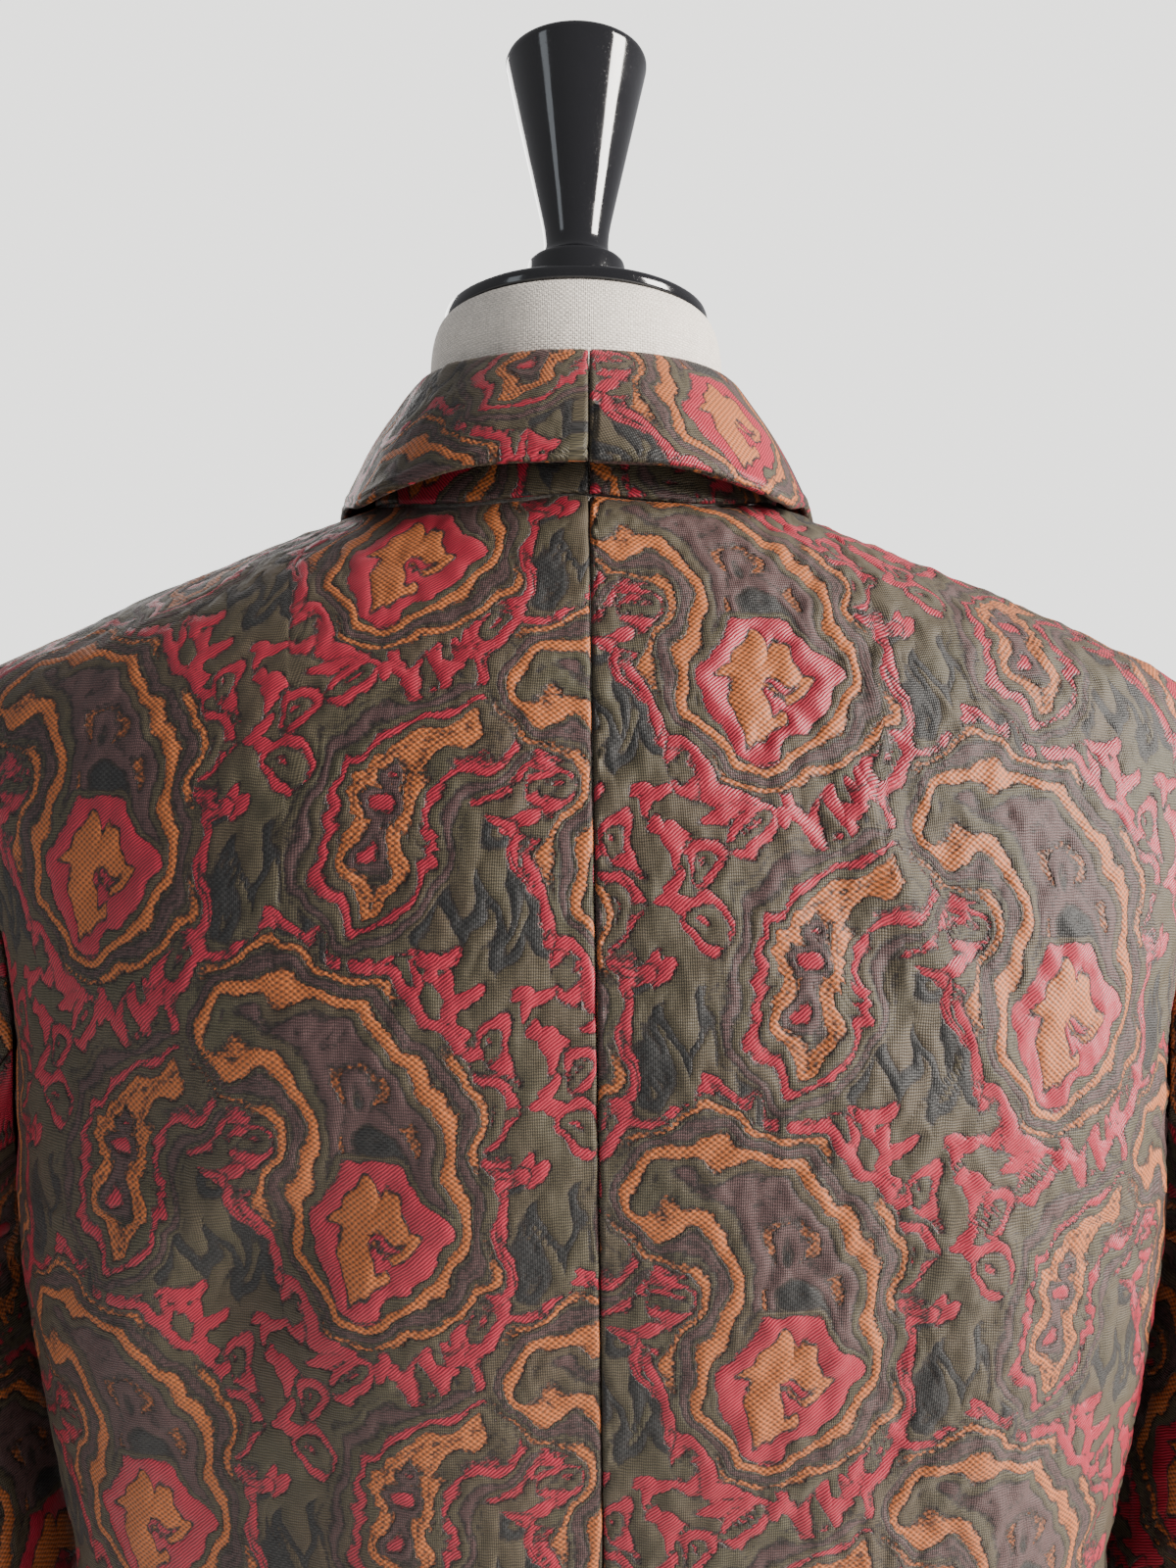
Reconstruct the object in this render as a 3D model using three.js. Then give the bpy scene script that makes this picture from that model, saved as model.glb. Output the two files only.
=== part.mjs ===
import * as THREE from "three";

// A brocade blazer with a shawl collar, on a limbless dress form and its stand.
// Millimetres, +Z up. The wearer faces -Y, and the origin is on the floor under the neck.

// Cloth and seams.
const wall = 2; // brocade with its interlining
const collarWall = 2.6; // collar and lapels, two layers of cloth pressed together
const seamGap = 0.18; // each sewn edge stands back this far from the seam line
const sleeveGap = 0.35; // sleeve head to armhole edge
const overlapLift = 1.6; // the left front stands proud and the right one is set back by this

// Heights.
const napeHeight = 1120; // collar seam at the centre back
const underarmHeight = 864;
const breakHeight = 805; // where the lapels start to turn
const hemHeight = 400;
const cuffHeight = 438;
const sleeveTubeTop = 835; // the sleeve is a plain tube below this

// Oval sections of the worn body: height, half width, depth of the back, depth of the front.
const bodySections = [
  [380, 228, 134, 131],
  [500, 221, 131, 128],
  [600, 210, 118, 122],
  [680, 198.5, 101, 112],
  [731, 197, 97, 109],
  [774, 205, 101, 111],
  [812, 211, 107, 115],
  [855, 216, 114, 121],
  [900, 216, 121, 125],
  [945, 217.5, 125.5, 126],
  [985, 226, 127, 121],
  [1020, 247, 126, 112],
  [1060, 285, 122, 103],
  [1100, 320, 116, 98],
  [1200, 330, 112, 94],
];
const ovalPower = 2.4;

// The large folds, hollows negative. Each has its depth, its width and where it lies.
const foldsFadeIn = [10, 60]; // by depth, so that the sides stay smooth
const lowFoldsEnd = [905, 985];
const centreHollow = { depth: -2.2, width: 22, ends: [1070, 1115] };
const leftHollow = { depth: -5, width: 24, across: 97, lean: 0.0035, leanFrom: 800, starts: [560, 760] };
const rightSwell = { depth: 2.6, width: 40, across: -118, starts: [640, 800] };
const skirtWave = { depth: 3, length: 23, phase: 0.6, ends: [430, 640] };
const frontSkirt = { share: 0.6, from: [40, 90] };
const chestHollow = { depth: -2.4, width: 26, across: 135, height: 860, reach: 90 };

// Where the two fronts lie over each other: across, in depth, and up to the break.
const closingAcross = [24, 62];
const closingDepth = [60, 90];
const closingTop = [785, 835];

// Shoulder slope: fall of the ridge with the distance from the neck, then its rounding.
const ridgeTop = 32;
const ridgeFall = [0.355, 0.0002, 2.6e-7];
const ridgeRound = 12;
const backRoofRadius = 88;
const frontRoofRadius = 62;
const roofLean = 0.42; // mean slope of the shoulders, to keep distances true
const shoulderBlend = 70; // how softly the shoulders turn into the sides

// The body hangs a little to the wearer's right of the neck.
const sideShift = -6;
const shiftFrom = 1060;
const shiftTo = 960;

// Centre-back seam: its place across at the collar, and its drift per millimetre down.
const seamAtNape = -5;
const seamDrift = 0.0131;

// Back neckline, left half, from the centre to the shoulder seam: across, back, height.
const backNeck = [
  [0, 75, 1120],
  [27, 71.5, 1119],
  [49, 61, 1117],
  [65, 45, 1121],
  [74.5, 27, 1125],
  [78, 8, 1127],
];
const neckCells = 8;
const shoulderSeam = [
  [78, 8, 1127],
  [130, 3, 1107],
  [182, -1, 1083],
  [235, -3, 1058],
];
const shoulderCells = 8;

// Armhole, left, from the shoulder tip down the back to the underarm and up the front.
const armhole = [
  [235, -3, 1058],
  [232.5, 14, 1046],
  [226.5, 30, 1022],
  [216.5, 43, 988],
  [208, 51, 950],
  [206, 50, 914],
  [210.5, 30, 880],
  [216, 0, underarmHeight],
  [210, -32, 880],
  [203, -54, 914],
  [202, -62, 950],
  [207, -56, 988],
  [220, -38, 1022],
  [231, -18, 1046],
];
const armholeCells = 24;
const armholeMiddle = [222, -4, 965];

// Front neckline above the straight roll line.
const frontNeck = [
  [78, 8, 1127],
  [77.8, -6, 1126],
  [77, -19, 1123],
  [75.4, -32, 1118],
  [73, -45, 1109],
  [70, -58, 1096],
  [66.5, -70, 1080],
];
const rollCells = 7;
const breakAcross = 8;
const frontEdge = [
  [2, 790],
  [-14, 770],
  [-18, 735],
  [-18, 685],
  [-18, 630],
  [-18, 570],
  [-18, 506],
  [-14, 446],
  [14, hemHeight],
];
const sideHeights = [828, 790, 750, 710, 665, 615, 562, 508, 454, hemHeight];
const hemOval = [200, 125]; // rough half width and depth, to start from

// Sleeve tube, left: height, edge next to the body, half width, centre, half depth.
const sleeveSections = [
  [sleeveTubeTop, 217.5, 38, -3, 70],
  [800, 213, 38, -4, 68.5],
  [760, 207, 38, -6, 66.5],
  [720, 202, 37.5, -8, 64.5],
  [680, 202.8, 37, -11, 62.5],
  [640, 207.5, 36.5, -15, 60.5],
  [600, 213.5, 36, -19, 58.5],
  [550, 219.5, 35, -25, 56.5],
  [500, 224.5, 34, -31, 54.5],
  [cuffHeight, 229, 33, -38, 52.5],
];
const capRows = 7;
const headDrop = [0.1, 0.42]; // how steeply the sleeve head leaves the armhole, top and change
const headLean = 0.35; // and how far it leans to the back or front
const headPull = [0.55, 0.9]; // how long it keeps its way, at the armhole and at the tube
const hindSeam = 8; // columns of the ring, from the outer side round the back
const foreSeam = 16;

// Collar, left half, by stations counted along the neckline from the centre back: height
// of the stand, then the free edge of the fall and lapel.
const collarStations = [
  [0, 60, 0, 88, 1125],
  [2, 60, 33, 85.5, 1124],
  [4, 60, 59, 75, 1119.5],
  [6, 60, 77, 53, 1118],
  [8, 60, 90, 12, 1126],
  [10, 43, 98, -20, 1117],
  [12, 29, 108, -46, 1097],
  [14, 8, 120, -74, 1062],
  [15, 4, 121, -92, 1026],
  [16, 3.2, 116, -104, 984],
  [17, 3.2, 106, -111, 944],
  [18, 3.2, 91, -116, 907],
  [19, 3.2, 69, -119, 872],
  [20, 3.2, 42, -121, 838],
  [21, 3.2, 18, -122, 808],
];
const shoulderStation = neckCells;
const rollRing = [59.9, 61, 1170]; // half width, half depth, height
const rollDip = 4; // the roll is lower at the centre back
const rollRadius = 2.3;
const standFoot = [0.45, -0.2]; // start of the stand from the seam: up it, and outwards
const fallSwell = 2.2;
const forwardTurn = [3.5, 7]; // stations past the shoulder where the stand turns to the front
const lapelRise = 30;
const lapelLift = 3.4; // middle of the collar's wall above the cloth that it lies on

// Buttons.
const buttonRadius = 11;
const buttonThickness = 4.2;
const buttonSeat = 0.45; // thread shank above the cloth
const buttonHeights = [762, 650];

// Dress form: height, half width, depth of the back, depth of the front.
const formSections = [
  [440, 176, 108, 98],
  [520, 184, 115, 105],
  [600, 178, 106, 104],
  [680, 158, 86, 91],
  [731, 151, 80, 87],
  [800, 163, 90, 98],
  [860, 176, 102, 109],
  [930, 186, 114, 118],
  [985, 190, 119, 115],
  [1020, 193, 119, 106],
  [1060, 196, 115, 97],
  [1200, 200, 108, 90],
];
const formBottom = 450;
const formRoofDrop = 3.3; // below the outside of the jacket's shoulders
const neckRadius = 57.6;
const neckShoulder = 1180; // the neck rounds in above this
const neckTop = 1199;
const neckTopRadius = 52;
const neckBlend = 15;
const formRings = [
  450, 510, 580, 640, 690, 735, 790, 850, 910, 960, 1000, 1024, 1043, 1058, 1071, 1083,
  1094, 1104, 1113, 1122, 1134, 1152, 1180, 1189, 1195.5, 1199,
];
const formSides = 34;
const formReach = [20, 260]; // its surface is looked for between these distances
const formFrontDrop = 1.4; // a little more room in front of the shoulder seam

// Turned pieces: radius and height along the profile.
const capProfile = [
  [0, 1199.3], [50.8, 1199.3], [52, 1200.6], [52, 1203.2], [50.8, 1204.8], [46, 1205.4], [0, 1205.4],
];
const finialProfile = [
  [0, 1205.7], [18.8, 1205.7], [19.4, 1206.4], [19.4, 1225.2], [18.4, 1227], [14.6, 1228.2],
  [13, 1230.6], [12.8, 1235.5], [13.4, 1241.5], [28, 1304.6], [28, 1306.2], [26.8, 1307.4],
  [0, 1307.4],
];
const poleRadius = 14;
const baseRadius = 175;
const baseProfile = [
  [0, 0], [170, 0], [175, 3], [175, 8], [172, 11], [150, 14], [60, 19], [30, 22], [0, 22],
];

const brocade = new THREE.MeshStandardMaterial({ color: 0x6b5a48, roughness: 0.62 });
const linen = new THREE.MeshStandardMaterial({ color: 0xcdc4ba, roughness: 0.9 });
const lacquer = new THREE.MeshStandardMaterial({ color: 0x1c1c20, roughness: 0.18 });
const steel = new THREE.MeshStandardMaterial({ color: 0x2a2a2d, roughness: 0.35, metalness: 0.8 });
const horn = new THREE.MeshStandardMaterial({ color: 0x2f231d, roughness: 0.35 });

const smooth = (from, to, x) => THREE.MathUtils.smoothstep(x, from, to);
const bell = (x, width) => Math.exp(-((x / width) ** 2));

// Value of one column of a table of sections at a height, by a smooth curve.
function along(table, z, column) {
  const last = table.length - 1;
  const rising = table[last][0] > table[0][0] ? 1 : -1;
  let k = 0;
  while (k < last - 1 && rising * (z - table[k + 1][0]) > 0) k += 1;
  const slope = (i) => {
    const a = table[Math.max(i - 1, 0)];
    const b = table[Math.min(i + 1, last)];
    return (b[column] - a[column]) / (b[0] - a[0]);
  };
  const [from, to] = [table[k], table[k + 1]];
  const step = to[0] - from[0];
  const t = THREE.MathUtils.clamp((z - from[0]) / step, 0, 1);
  const [t2, t3] = [t * t, t * t * t];
  return (2 * t3 - 3 * t2 + 1) * from[column] + (t3 - 2 * t2 + t) * step * slope(k)
    + (3 * t2 - 2 * t3) * to[column] + (t3 - t2) * step * slope(k + 1);
}

const shiftAt = (z) => sideShift * (1 - smooth(shiftTo, shiftFrom, z));
const seamAcross = (z) => seamAtNape - seamDrift * Math.min(napeHeight - z, 400);

// Larger of two distances, rounded where they are close to each other.
function blendMax(a, b, width) {
  const near = Math.max(width - Math.abs(a - b), 0) / width;
  return Math.max(a, b) + (near * near * width) / 4;
}

// Signed distance, roughly, to an upright oval column.
function column(p, sections) {
  const x = p.x - shiftAt(p.z);
  const depth = along(sections, p.z, p.y > 0 ? 2 : 3);
  const across = Math.abs(x / along(sections, p.z, 1)) ** ovalPower;
  const scale = (across + Math.abs(p.y / depth) ** ovalPower) ** (1 / ovalPower);
  return Math.hypot(x, p.y) * (1 - 1 / Math.max(scale, 1e-6));
}

// Height of a point above the sloping shoulders, across their slope.
function aboveRoof(p) {
  const s = Math.hypot(p.x, ridgeRound) - ridgeRound;
  const ridge = ridgeTop - ridgeFall[0] * s - ridgeFall[1] * s * s - ridgeFall[2] * s ** 3;
  const radius = p.y > 0 ? backRoofRadius : frontRoofRadius;
  const roof = napeHeight + ridge - (p.y * p.y) / (2 * radius);
  return (p.z - roof) / Math.hypot(1, roofLean, p.y / radius);
}

// Height of the large folds at a point.
function folds(p) {
  const x = p.x - shiftAt(p.z);
  const low = 1 - smooth(...lowFoldsEnd, p.z);
  const valley = leftHollow.across + leftHollow.lean * Math.max(p.z - leftHollow.leanFrom, 0) ** 2;
  const centre = centreHollow.depth * bell(p.x - seamAcross(p.z), centreHollow.width)
    * (1 - smooth(...centreHollow.ends, p.z));
  const left = leftHollow.depth * bell(x - valley, leftHollow.width) * low
    * smooth(...leftHollow.starts, p.z);
  const right = rightSwell.depth * bell(x - rightSwell.across, rightSwell.width) * low
    * smooth(...rightSwell.starts, p.z);
  const skirt = skirtWave.depth * Math.cos(x / skirtWave.length + skirtWave.phase)
    * (1 - smooth(...skirtWave.ends, p.z));
  const chest = chestHollow.depth * bell(Math.abs(x) - chestHollow.across, chestHollow.width)
    * bell(p.z - chestHollow.height, chestHollow.reach);
  const frontWave = frontSkirt.share * skirt * smooth(...frontSkirt.from, Math.abs(x));
  return smooth(...foldsFadeIn, p.y) * (centre + left + right + skirt)
    + smooth(...foldsFadeIn, -p.y) * (chest + frontWave);
}

// The left front stands proud along the closing and the right front is set back.
function closing(p, side) {
  const near = 1 - smooth(...closingAcross, Math.abs(p.x - shiftAt(p.z)));
  return side * overlapLift * near * smooth(...closingDepth, -p.y) * (1 - smooth(...closingTop, p.z));
}

const skin = (side) => (p) => blendMax(column(p, bodySections), aboveRoof(p), shoulderBlend)
  - folds(p) - closing(p, side);

function gradient(field, p) {
  const step = 0.5;
  const slope = (axis) => {
    const [a, b] = [p.clone(), p.clone()];
    a[axis] += step;
    b[axis] -= step;
    return (field(a) - field(b)) / (2 * step);
  };
  return new THREE.Vector3(slope("x"), slope("y"), slope("z"));
}

// Moves a point onto the surface where the field has the given level.
function settle(field, p, level = 0, free = new THREE.Vector3(1, 1, 1)) {
  const q = p.clone();
  for (let i = 0; i < 12; i += 1) {
    const g = gradient(field, q).multiply(free);
    q.addScaledVector(g, (level - field(q)) / g.lengthSq());
  }
  return q;
}

const levelOnly = new THREE.Vector3(1, 1, 0);
const depthOnly = new THREE.Vector3(0, 1, 0);
const normalAt = (field, p) => gradient(field, p).normalize();

// A point of the left half's tables, placed on the side asked for.
const placed = ([x, y, z], side) => new THREE.Vector3(side * x + shiftAt(z), y, z);

// Evenly counted points on a smooth line through a table.
function line(table, side, cells, closed = false) {
  const curve = new THREE.CatmullRomCurve3(table.map((row) => placed(row, side)), closed, "centripetal");
  return Array.from({ length: cells + 1 }, (_, i) => curve.getPoint(i / cells));
}

// Seam lines of one side, all on the outer surface.
function seams(side) {
  const field = skin(side);
  const onSkin = (points, free) => points.map((p) => settle(field, p, 0, free));
  const neckBack = onSkin(line(backNeck, side, neckCells));
  neckBack[0] = settle(field, neckBack[0].setX(seamAcross(napeHeight)), 0, depthOnly);
  const hole = onSkin(line(armhole, side, armholeCells, true)).slice(0, armholeCells);
  const half = armholeCells / 2;
  const sideSeam = onSkin(sideHeights.map((z) => placed([along(bodySections, z, 1), 0, z], side)), levelOnly);
  const roll = Array.from({ length: rollCells }, (_, i) => {
    const t = (i + 1) / rollCells;
    const [x, , z] = frontNeck[frontNeck.length - 1];
    const height = THREE.MathUtils.lerp(z, breakHeight, t);
    return placed([THREE.MathUtils.lerp(x, breakAcross, t), -along(bodySections, height, 3), height], side);
  });
  return {
    neckBack,
    neckFront: onSkin([...frontNeck.map((row) => placed(row, side)), ...roll]),
    shoulder: onSkin(line(shoulderSeam, side, shoulderCells)),
    holeBack: hole.slice(0, half + 1),
    holeFront: [hole[0], ...hole.slice(half).reverse()],
    hole,
    sideSeam,
    edge: onSkin(frontEdge.map(([x, z]) => placed([x, -along(bodySections, z, 3), z], side)), depthOnly),
  };
}

// Fills a four-sided frame of seam lines with rows of points.
function fill(top, bottom, inner, outer) {
  const [nu, nv] = [top.length - 1, inner.length - 1];
  return inner.map((left, j) => top.map((upper, i) => {
    const [u, v] = [i / nu, j / nv];
    const p = new THREE.Vector3();
    p.addScaledVector(upper, 1 - v).addScaledVector(bottom[i], v);
    p.addScaledVector(left, 1 - u).addScaledVector(outer[j], u);
    p.addScaledVector(top[0], -(1 - u) * (1 - v)).addScaledVector(top[nu], -u * (1 - v));
    return p.addScaledVector(bottom[0], -(1 - u) * v).addScaledVector(bottom[nu], -u * v);
  }));
}

// Draws the edges of a grid back from the seam lines; sides are top, bottom, first, last.
function drawBack(rows, distance, sides) {
  const [last, end] = [rows.length - 1, rows[0].length - 1];
  const copy = rows.map((row) => row.map((p) => p.clone()));
  const pull = (j, i, nj, ni) => {
    const step = rows[nj][ni].clone().sub(rows[j][i]).setLength(distance);
    copy[j][i].add(step);
  };
  for (let j = 0; j <= last; j += 1) {
    if (sides.includes("first")) pull(j, 0, j, 1);
    if (sides.includes("last")) pull(j, end, j, end - 1);
  }
  for (let i = 0; i <= end; i += 1) {
    if (sides.includes("top")) pull(0, i, 1, i);
    if (sides.includes("bottom")) pull(last, i, last - 1, i);
  }
  return copy;
}

// Closed wall between two grids of the same layout.
function wallGeometry(faceA, faceB) {
  const [rows, columns] = [faceA.length, faceA[0].length];
  const points = [...faceA.flat(), ...faceB.flat()];
  const index = (face, j, i) => face * rows * columns + j * columns + i;
  const triangles = [];
  const quad = (a, b, c, d) => triangles.push(a, b, c, a, c, d);
  for (let j = 0; j < rows - 1; j += 1) {
    for (let i = 0; i < columns - 1; i += 1) {
      quad(index(0, j, i), index(0, j, i + 1), index(0, j + 1, i + 1), index(0, j + 1, i));
      quad(index(1, j, i), index(1, j + 1, i), index(1, j + 1, i + 1), index(1, j, i + 1));
    }
    const [a, b] = [0, columns - 1];
    quad(index(0, j, a), index(0, j + 1, a), index(1, j + 1, a), index(1, j, a));
    quad(index(0, j, b), index(1, j, b), index(1, j + 1, b), index(0, j + 1, b));
  }
  for (let i = 0; i < columns - 1; i += 1) {
    const b = rows - 1;
    quad(index(0, 0, i), index(1, 0, i), index(1, 0, i + 1), index(0, 0, i + 1));
    quad(index(0, b, i), index(0, b, i + 1), index(1, b, i + 1), index(1, b, i));
  }
  return outward(points, triangles);
}

// Geometry of a closed mesh, with its faces turned outward.
function outward(points, triangles) {
  let volume = 0;
  for (let t = 0; t < triangles.length; t += 3) {
    const [a, b, c] = [0, 1, 2].map((k) => points[triangles[t + k]]);
    volume += a.dot(b.clone().cross(c));
  }
  if (volume < 0) triangles.reverse();
  const geometry = new THREE.BufferGeometry().setFromPoints(points);
  geometry.setIndex(triangles);
  geometry.computeVertexNormals();
  return geometry;
}

function mesh(name, geometry, material) {
  const made = new THREE.Mesh(geometry, material);
  made.name = name;
  return made;
}

// A panel of the body: its grid settled on the skin, and the wall inside it.
function panel(name, rows, side, sides) {
  const field = skin(side);
  const [last, end] = [rows.length - 1, rows[0].length - 1];
  const settled = rows.map((row, j) => row.map((p, i) => (
    j > 0 && j < last && i > 0 && i < end ? settle(field, p) : p
  )));
  const outer = drawBack(settled, seamGap, sides);
  const inner = outer.map((row) => row.map((p) => p.clone().addScaledVector(normalAt(field, p), -wall)));
  return mesh(name, wallGeometry(outer, inner), brocade);
}

function backPanel(name, side) {
  const field = skin(side);
  const s = seams(side);
  const top = [...s.neckBack, ...s.shoulder.slice(1)];
  const outer = [...s.holeBack, ...s.sideSeam];
  const heights = [
    ...s.holeBack.map((_, j) => THREE.MathUtils.lerp(napeHeight, underarmHeight, j / (armholeCells / 2))),
    ...sideHeights,
  ];
  const inner = heights.map((z, j) => (j === 0 ? s.neckBack[0]
    : settle(field, new THREE.Vector3(seamAcross(z), along(bodySections, z, 2), z), 0, depthOnly)));
  const hem = hemLine(field, inner[inner.length - 1], outer[outer.length - 1], top.length);
  return panel(name, fill(top, hem, inner, outer), side, ["top", "first", "last"]);
}

function frontPanel(name, side) {
  const s = seams(side);
  const inner = [...s.neckFront, ...s.edge];
  const outer = [...s.holeFront, ...s.sideSeam];
  const hem = hemLine(skin(side), inner[inner.length - 1], outer[outer.length - 1], s.shoulder.length);
  return panel(name, fill(s.shoulder, hem, inner, outer), side, ["top", "first", "last"]);
}

// The hem between two points, kept at its height.
function hemLine(field, from, to, count) {
  const turn = (p) => Math.atan2(p.x - shiftAt(hemHeight), p.y);
  let [a, b] = [turn(from), turn(to)];
  if (from.y < 0 && a < 0 && b > 0) a += 2 * Math.PI;
  if (from.y < 0 && a > 0 && b < 0) a -= 2 * Math.PI;
  return Array.from({ length: count }, (_, i) => {
    if (i === 0) return from;
    if (i === count - 1) return to;
    const angle = THREE.MathUtils.lerp(a, b, i / (count - 1));
    const [across, depth] = [hemOval[0] * Math.sin(angle), hemOval[1] * Math.cos(angle)];
    const p = new THREE.Vector3(across + shiftAt(hemHeight), depth, hemHeight);
    return settle(field, p, 0, levelOnly);
  });
}

// Point of a sleeve's tube at a height, at an angle from its outer side round the back.
function tubePoint(z, angle, side) {
  const halfWidth = along(sleeveSections, z, 2);
  const across = along(sleeveSections, z, 1) + halfWidth * (1 + Math.cos(angle));
  const depth = along(sleeveSections, z, 3) + along(sleeveSections, z, 4) * Math.sin(angle);
  return placed([across, depth, z], side);
}

// Rows of a sleeve: the head curves from the armhole into the tube.
function sleeveGrid(side) {
  const field = skin(side);
  const { hole } = seams(side);
  const count = hole.length;
  const tubeHeights = sleeveSections.map((row) => row[0]);
  const columns = hole.map((p, i) => {
    const angle = (2 * Math.PI * i) / count;
    const normal = normalAt(field, p);
    const down = headDrop[0] + headDrop[1] * (1 - Math.cos(angle));
    const backward = headLean * Math.sin(angle);
    const outwards = Math.sqrt(Math.max(1 - down * down - backward * backward, 0.05));
    const leave = new THREE.Vector3(side * outwards, backward, -down).normalize();
    const low = 1 - smooth(940, 1010, p.z);
    const start = p.clone().addScaledVector(awayFromPanel(field, p, side), sleeveGap)
      .addScaledVector(normal, sleeveGap * low);
    const end = tubePoint(sleeveTubeTop, angle, side);
    const length = start.distanceTo(end);
    const cap = Array.from({ length: capRows }, (_, j) => (
      hermite(start, leave.clone().multiplyScalar(headPull[0] * length), end,
        new THREE.Vector3(0, 0, -headPull[1] * length), j / capRows)
    ));
    return [...cap, ...tubeHeights.map((z) => tubePoint(z, angle, side))];
  });
  return columns[0].map((_, j) => columns.map((column) => column[j]));
}

// Direction on the skin from the body's armhole edge into the opening.
function awayFromPanel(field, p, side) {
  const [x, y, z] = armholeMiddle;
  const middle = new THREE.Vector3(side * x + shiftAt(p.z), y, z);
  const inward = middle.sub(p);
  const normal = normalAt(field, p);
  return inward.addScaledVector(normal, -inward.dot(normal)).normalize();
}

function hermite(a, ta, b, tb, t) {
  const [t2, t3] = [t * t, t * t * t];
  return new THREE.Vector3()
    .addScaledVector(a, 2 * t3 - 3 * t2 + 1)
    .addScaledVector(ta, t3 - 2 * t2 + t)
    .addScaledVector(b, 3 * t2 - 2 * t3)
    .addScaledVector(tb, t3 - t2);
}

// Normals of a grid by differences; rings close on themselves where asked.
function gridNormals(rows, ring) {
  const [last, end] = [rows.length - 1, rows[0].length - 1];
  return rows.map((row, j) => row.map((_, i) => {
    const before = ring ? (i + end) % (end + 1) : Math.max(i - 1, 0);
    const after = ring ? (i + 1) % (end + 1) : Math.min(i + 1, end);
    const across = row[after].clone().sub(row[before]);
    const down = rows[Math.min(j + 1, last)][i].clone().sub(rows[Math.max(j - 1, 0)][i]);
    return across.cross(down).normalize();
  }));
}

function sleevePieces(name, side) {
  const outer = sleeveGrid(side);
  const middle = outer.map((row) => row
    .reduce((sum, p) => sum.add(p), new THREE.Vector3()).multiplyScalar(1 / row.length));
  const normals = gridNormals(outer, true);
  const inward = normals[12][0].dot(middle[12].clone().sub(outer[12][0])) > 0 ? 1 : -1;
  const inner = outer.map((row, j) => row
    .map((p, i) => p.clone().addScaledVector(normals[j][i], inward * wall)));
  const part = (from, to) => {
    const pick = (rows) => rows.map((row) => Array.from({ length: to - from + 1 },
      (_, k) => row[(from + k + row.length) % row.length]));
    const sides = ["first", "last"];
    return wallGeometry(drawBack(pick(outer), seamGap, sides), drawBack(pick(inner), seamGap, sides));
  };
  return [
    mesh(`${name}_top`, part(foreSeam - armholeCells, hindSeam), brocade),
    mesh(`${name}_under`, part(hindSeam, foreSeam), brocade),
  ];
}

// One half of the collar: stand, roll, fall and lapel as one bent wall.
function collar(name, side) {
  const field = skin(side);
  const s = seams(side);
  const base = [...s.neckBack, ...s.neckFront.slice(1)];
  const rows = base.map((p, k) => collarSection(p, k, side, field));
  const normals = gridNormals(rows, false);
  const face = (offset) => rows.map((row, j) => row
    .map((p, i) => p.clone().addScaledVector(normals[j][i], offset)));
  const [faceA, faceB] = [face(collarWall / 2), face(-collarWall / 2)];
  const sides = ["top"];
  return mesh(name, wallGeometry(drawBack(faceA, seamGap, sides), drawBack(faceB, seamGap, sides)), brocade);
}

// Direction of the stand from the neckline, and its roll point.
function standTop(p, k, side, field) {
  const angle = Math.atan2(p.x, p.y);
  const roll = new THREE.Vector3(
    rollRing[0] * Math.sin(angle),
    rollRing[1] * Math.cos(angle),
    rollRing[2] - rollDip * Math.max(Math.cos(angle), 0),
  );
  const height = Math.min(along(collarStations, k, 1), roll.distanceTo(p));
  const toNeck = roll.sub(p).setLength(height);
  const centre = new THREE.Vector3(shiftAt(p.z), p.y, p.z);
  const ahead = centre.sub(p).add(new THREE.Vector3(0, 0, lapelRise));
  const normal = normalAt(field, p);
  ahead.addScaledVector(normal, -ahead.dot(normal)).setLength(height);
  const front = smooth(shoulderStation + forwardTurn[0], shoulderStation + forwardTurn[1], k);
  return { up: toNeck.lerp(ahead, front).setLength(height), normal, front };
}

function collarSection(p, k, side, field) {
  const { up, normal, front } = standTop(p, k, side, field);
  const direction = up.clone().normalize();
  const outside = new THREE.Vector3(p.x, p.y, 0).normalize().lerp(normal, front);
  outside.addScaledVector(direction, -outside.dot(direction)).normalize();
  const start = p.clone().addScaledVector(direction, standFoot[0])
    .addScaledVector(outside, standFoot[1]);
  const top = p.clone().add(up);
  const points = [0, 1 / 3, 2 / 3, 1].map((t) => start.clone().lerp(top, t));
  const centre = top.clone().addScaledVector(outside, rollRadius);
  [45, 90, 135, 180].forEach((degrees) => {
    const a = THREE.MathUtils.degToRad(degrees);
    points.push(centre.clone().addScaledVector(outside, -rollRadius * Math.cos(a))
      .addScaledVector(direction, rollRadius * Math.sin(a)));
  });
  const from = points[points.length - 1];
  const edge = placed([2, 3, 4].map((n) => along(collarStations, k, n)), side);
  if (k === 0) edge.x = seamAcross(edge.z);
  [0.2, 0.4, 0.6, 0.8, 1].forEach((t) => {
    const swell = fallSwell * Math.sin(Math.PI * t) * (1 - front);
    const q = from.clone().lerp(edge, t).addScaledVector(outside, swell);
    points.push(field(q) < lapelLift ? settle(field, q, lapelLift) : q);
  });
  if (k === 0) points.forEach((q) => { q.x = seamAcross(napeHeight) + side * seamGap; });
  return points;
}

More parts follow.
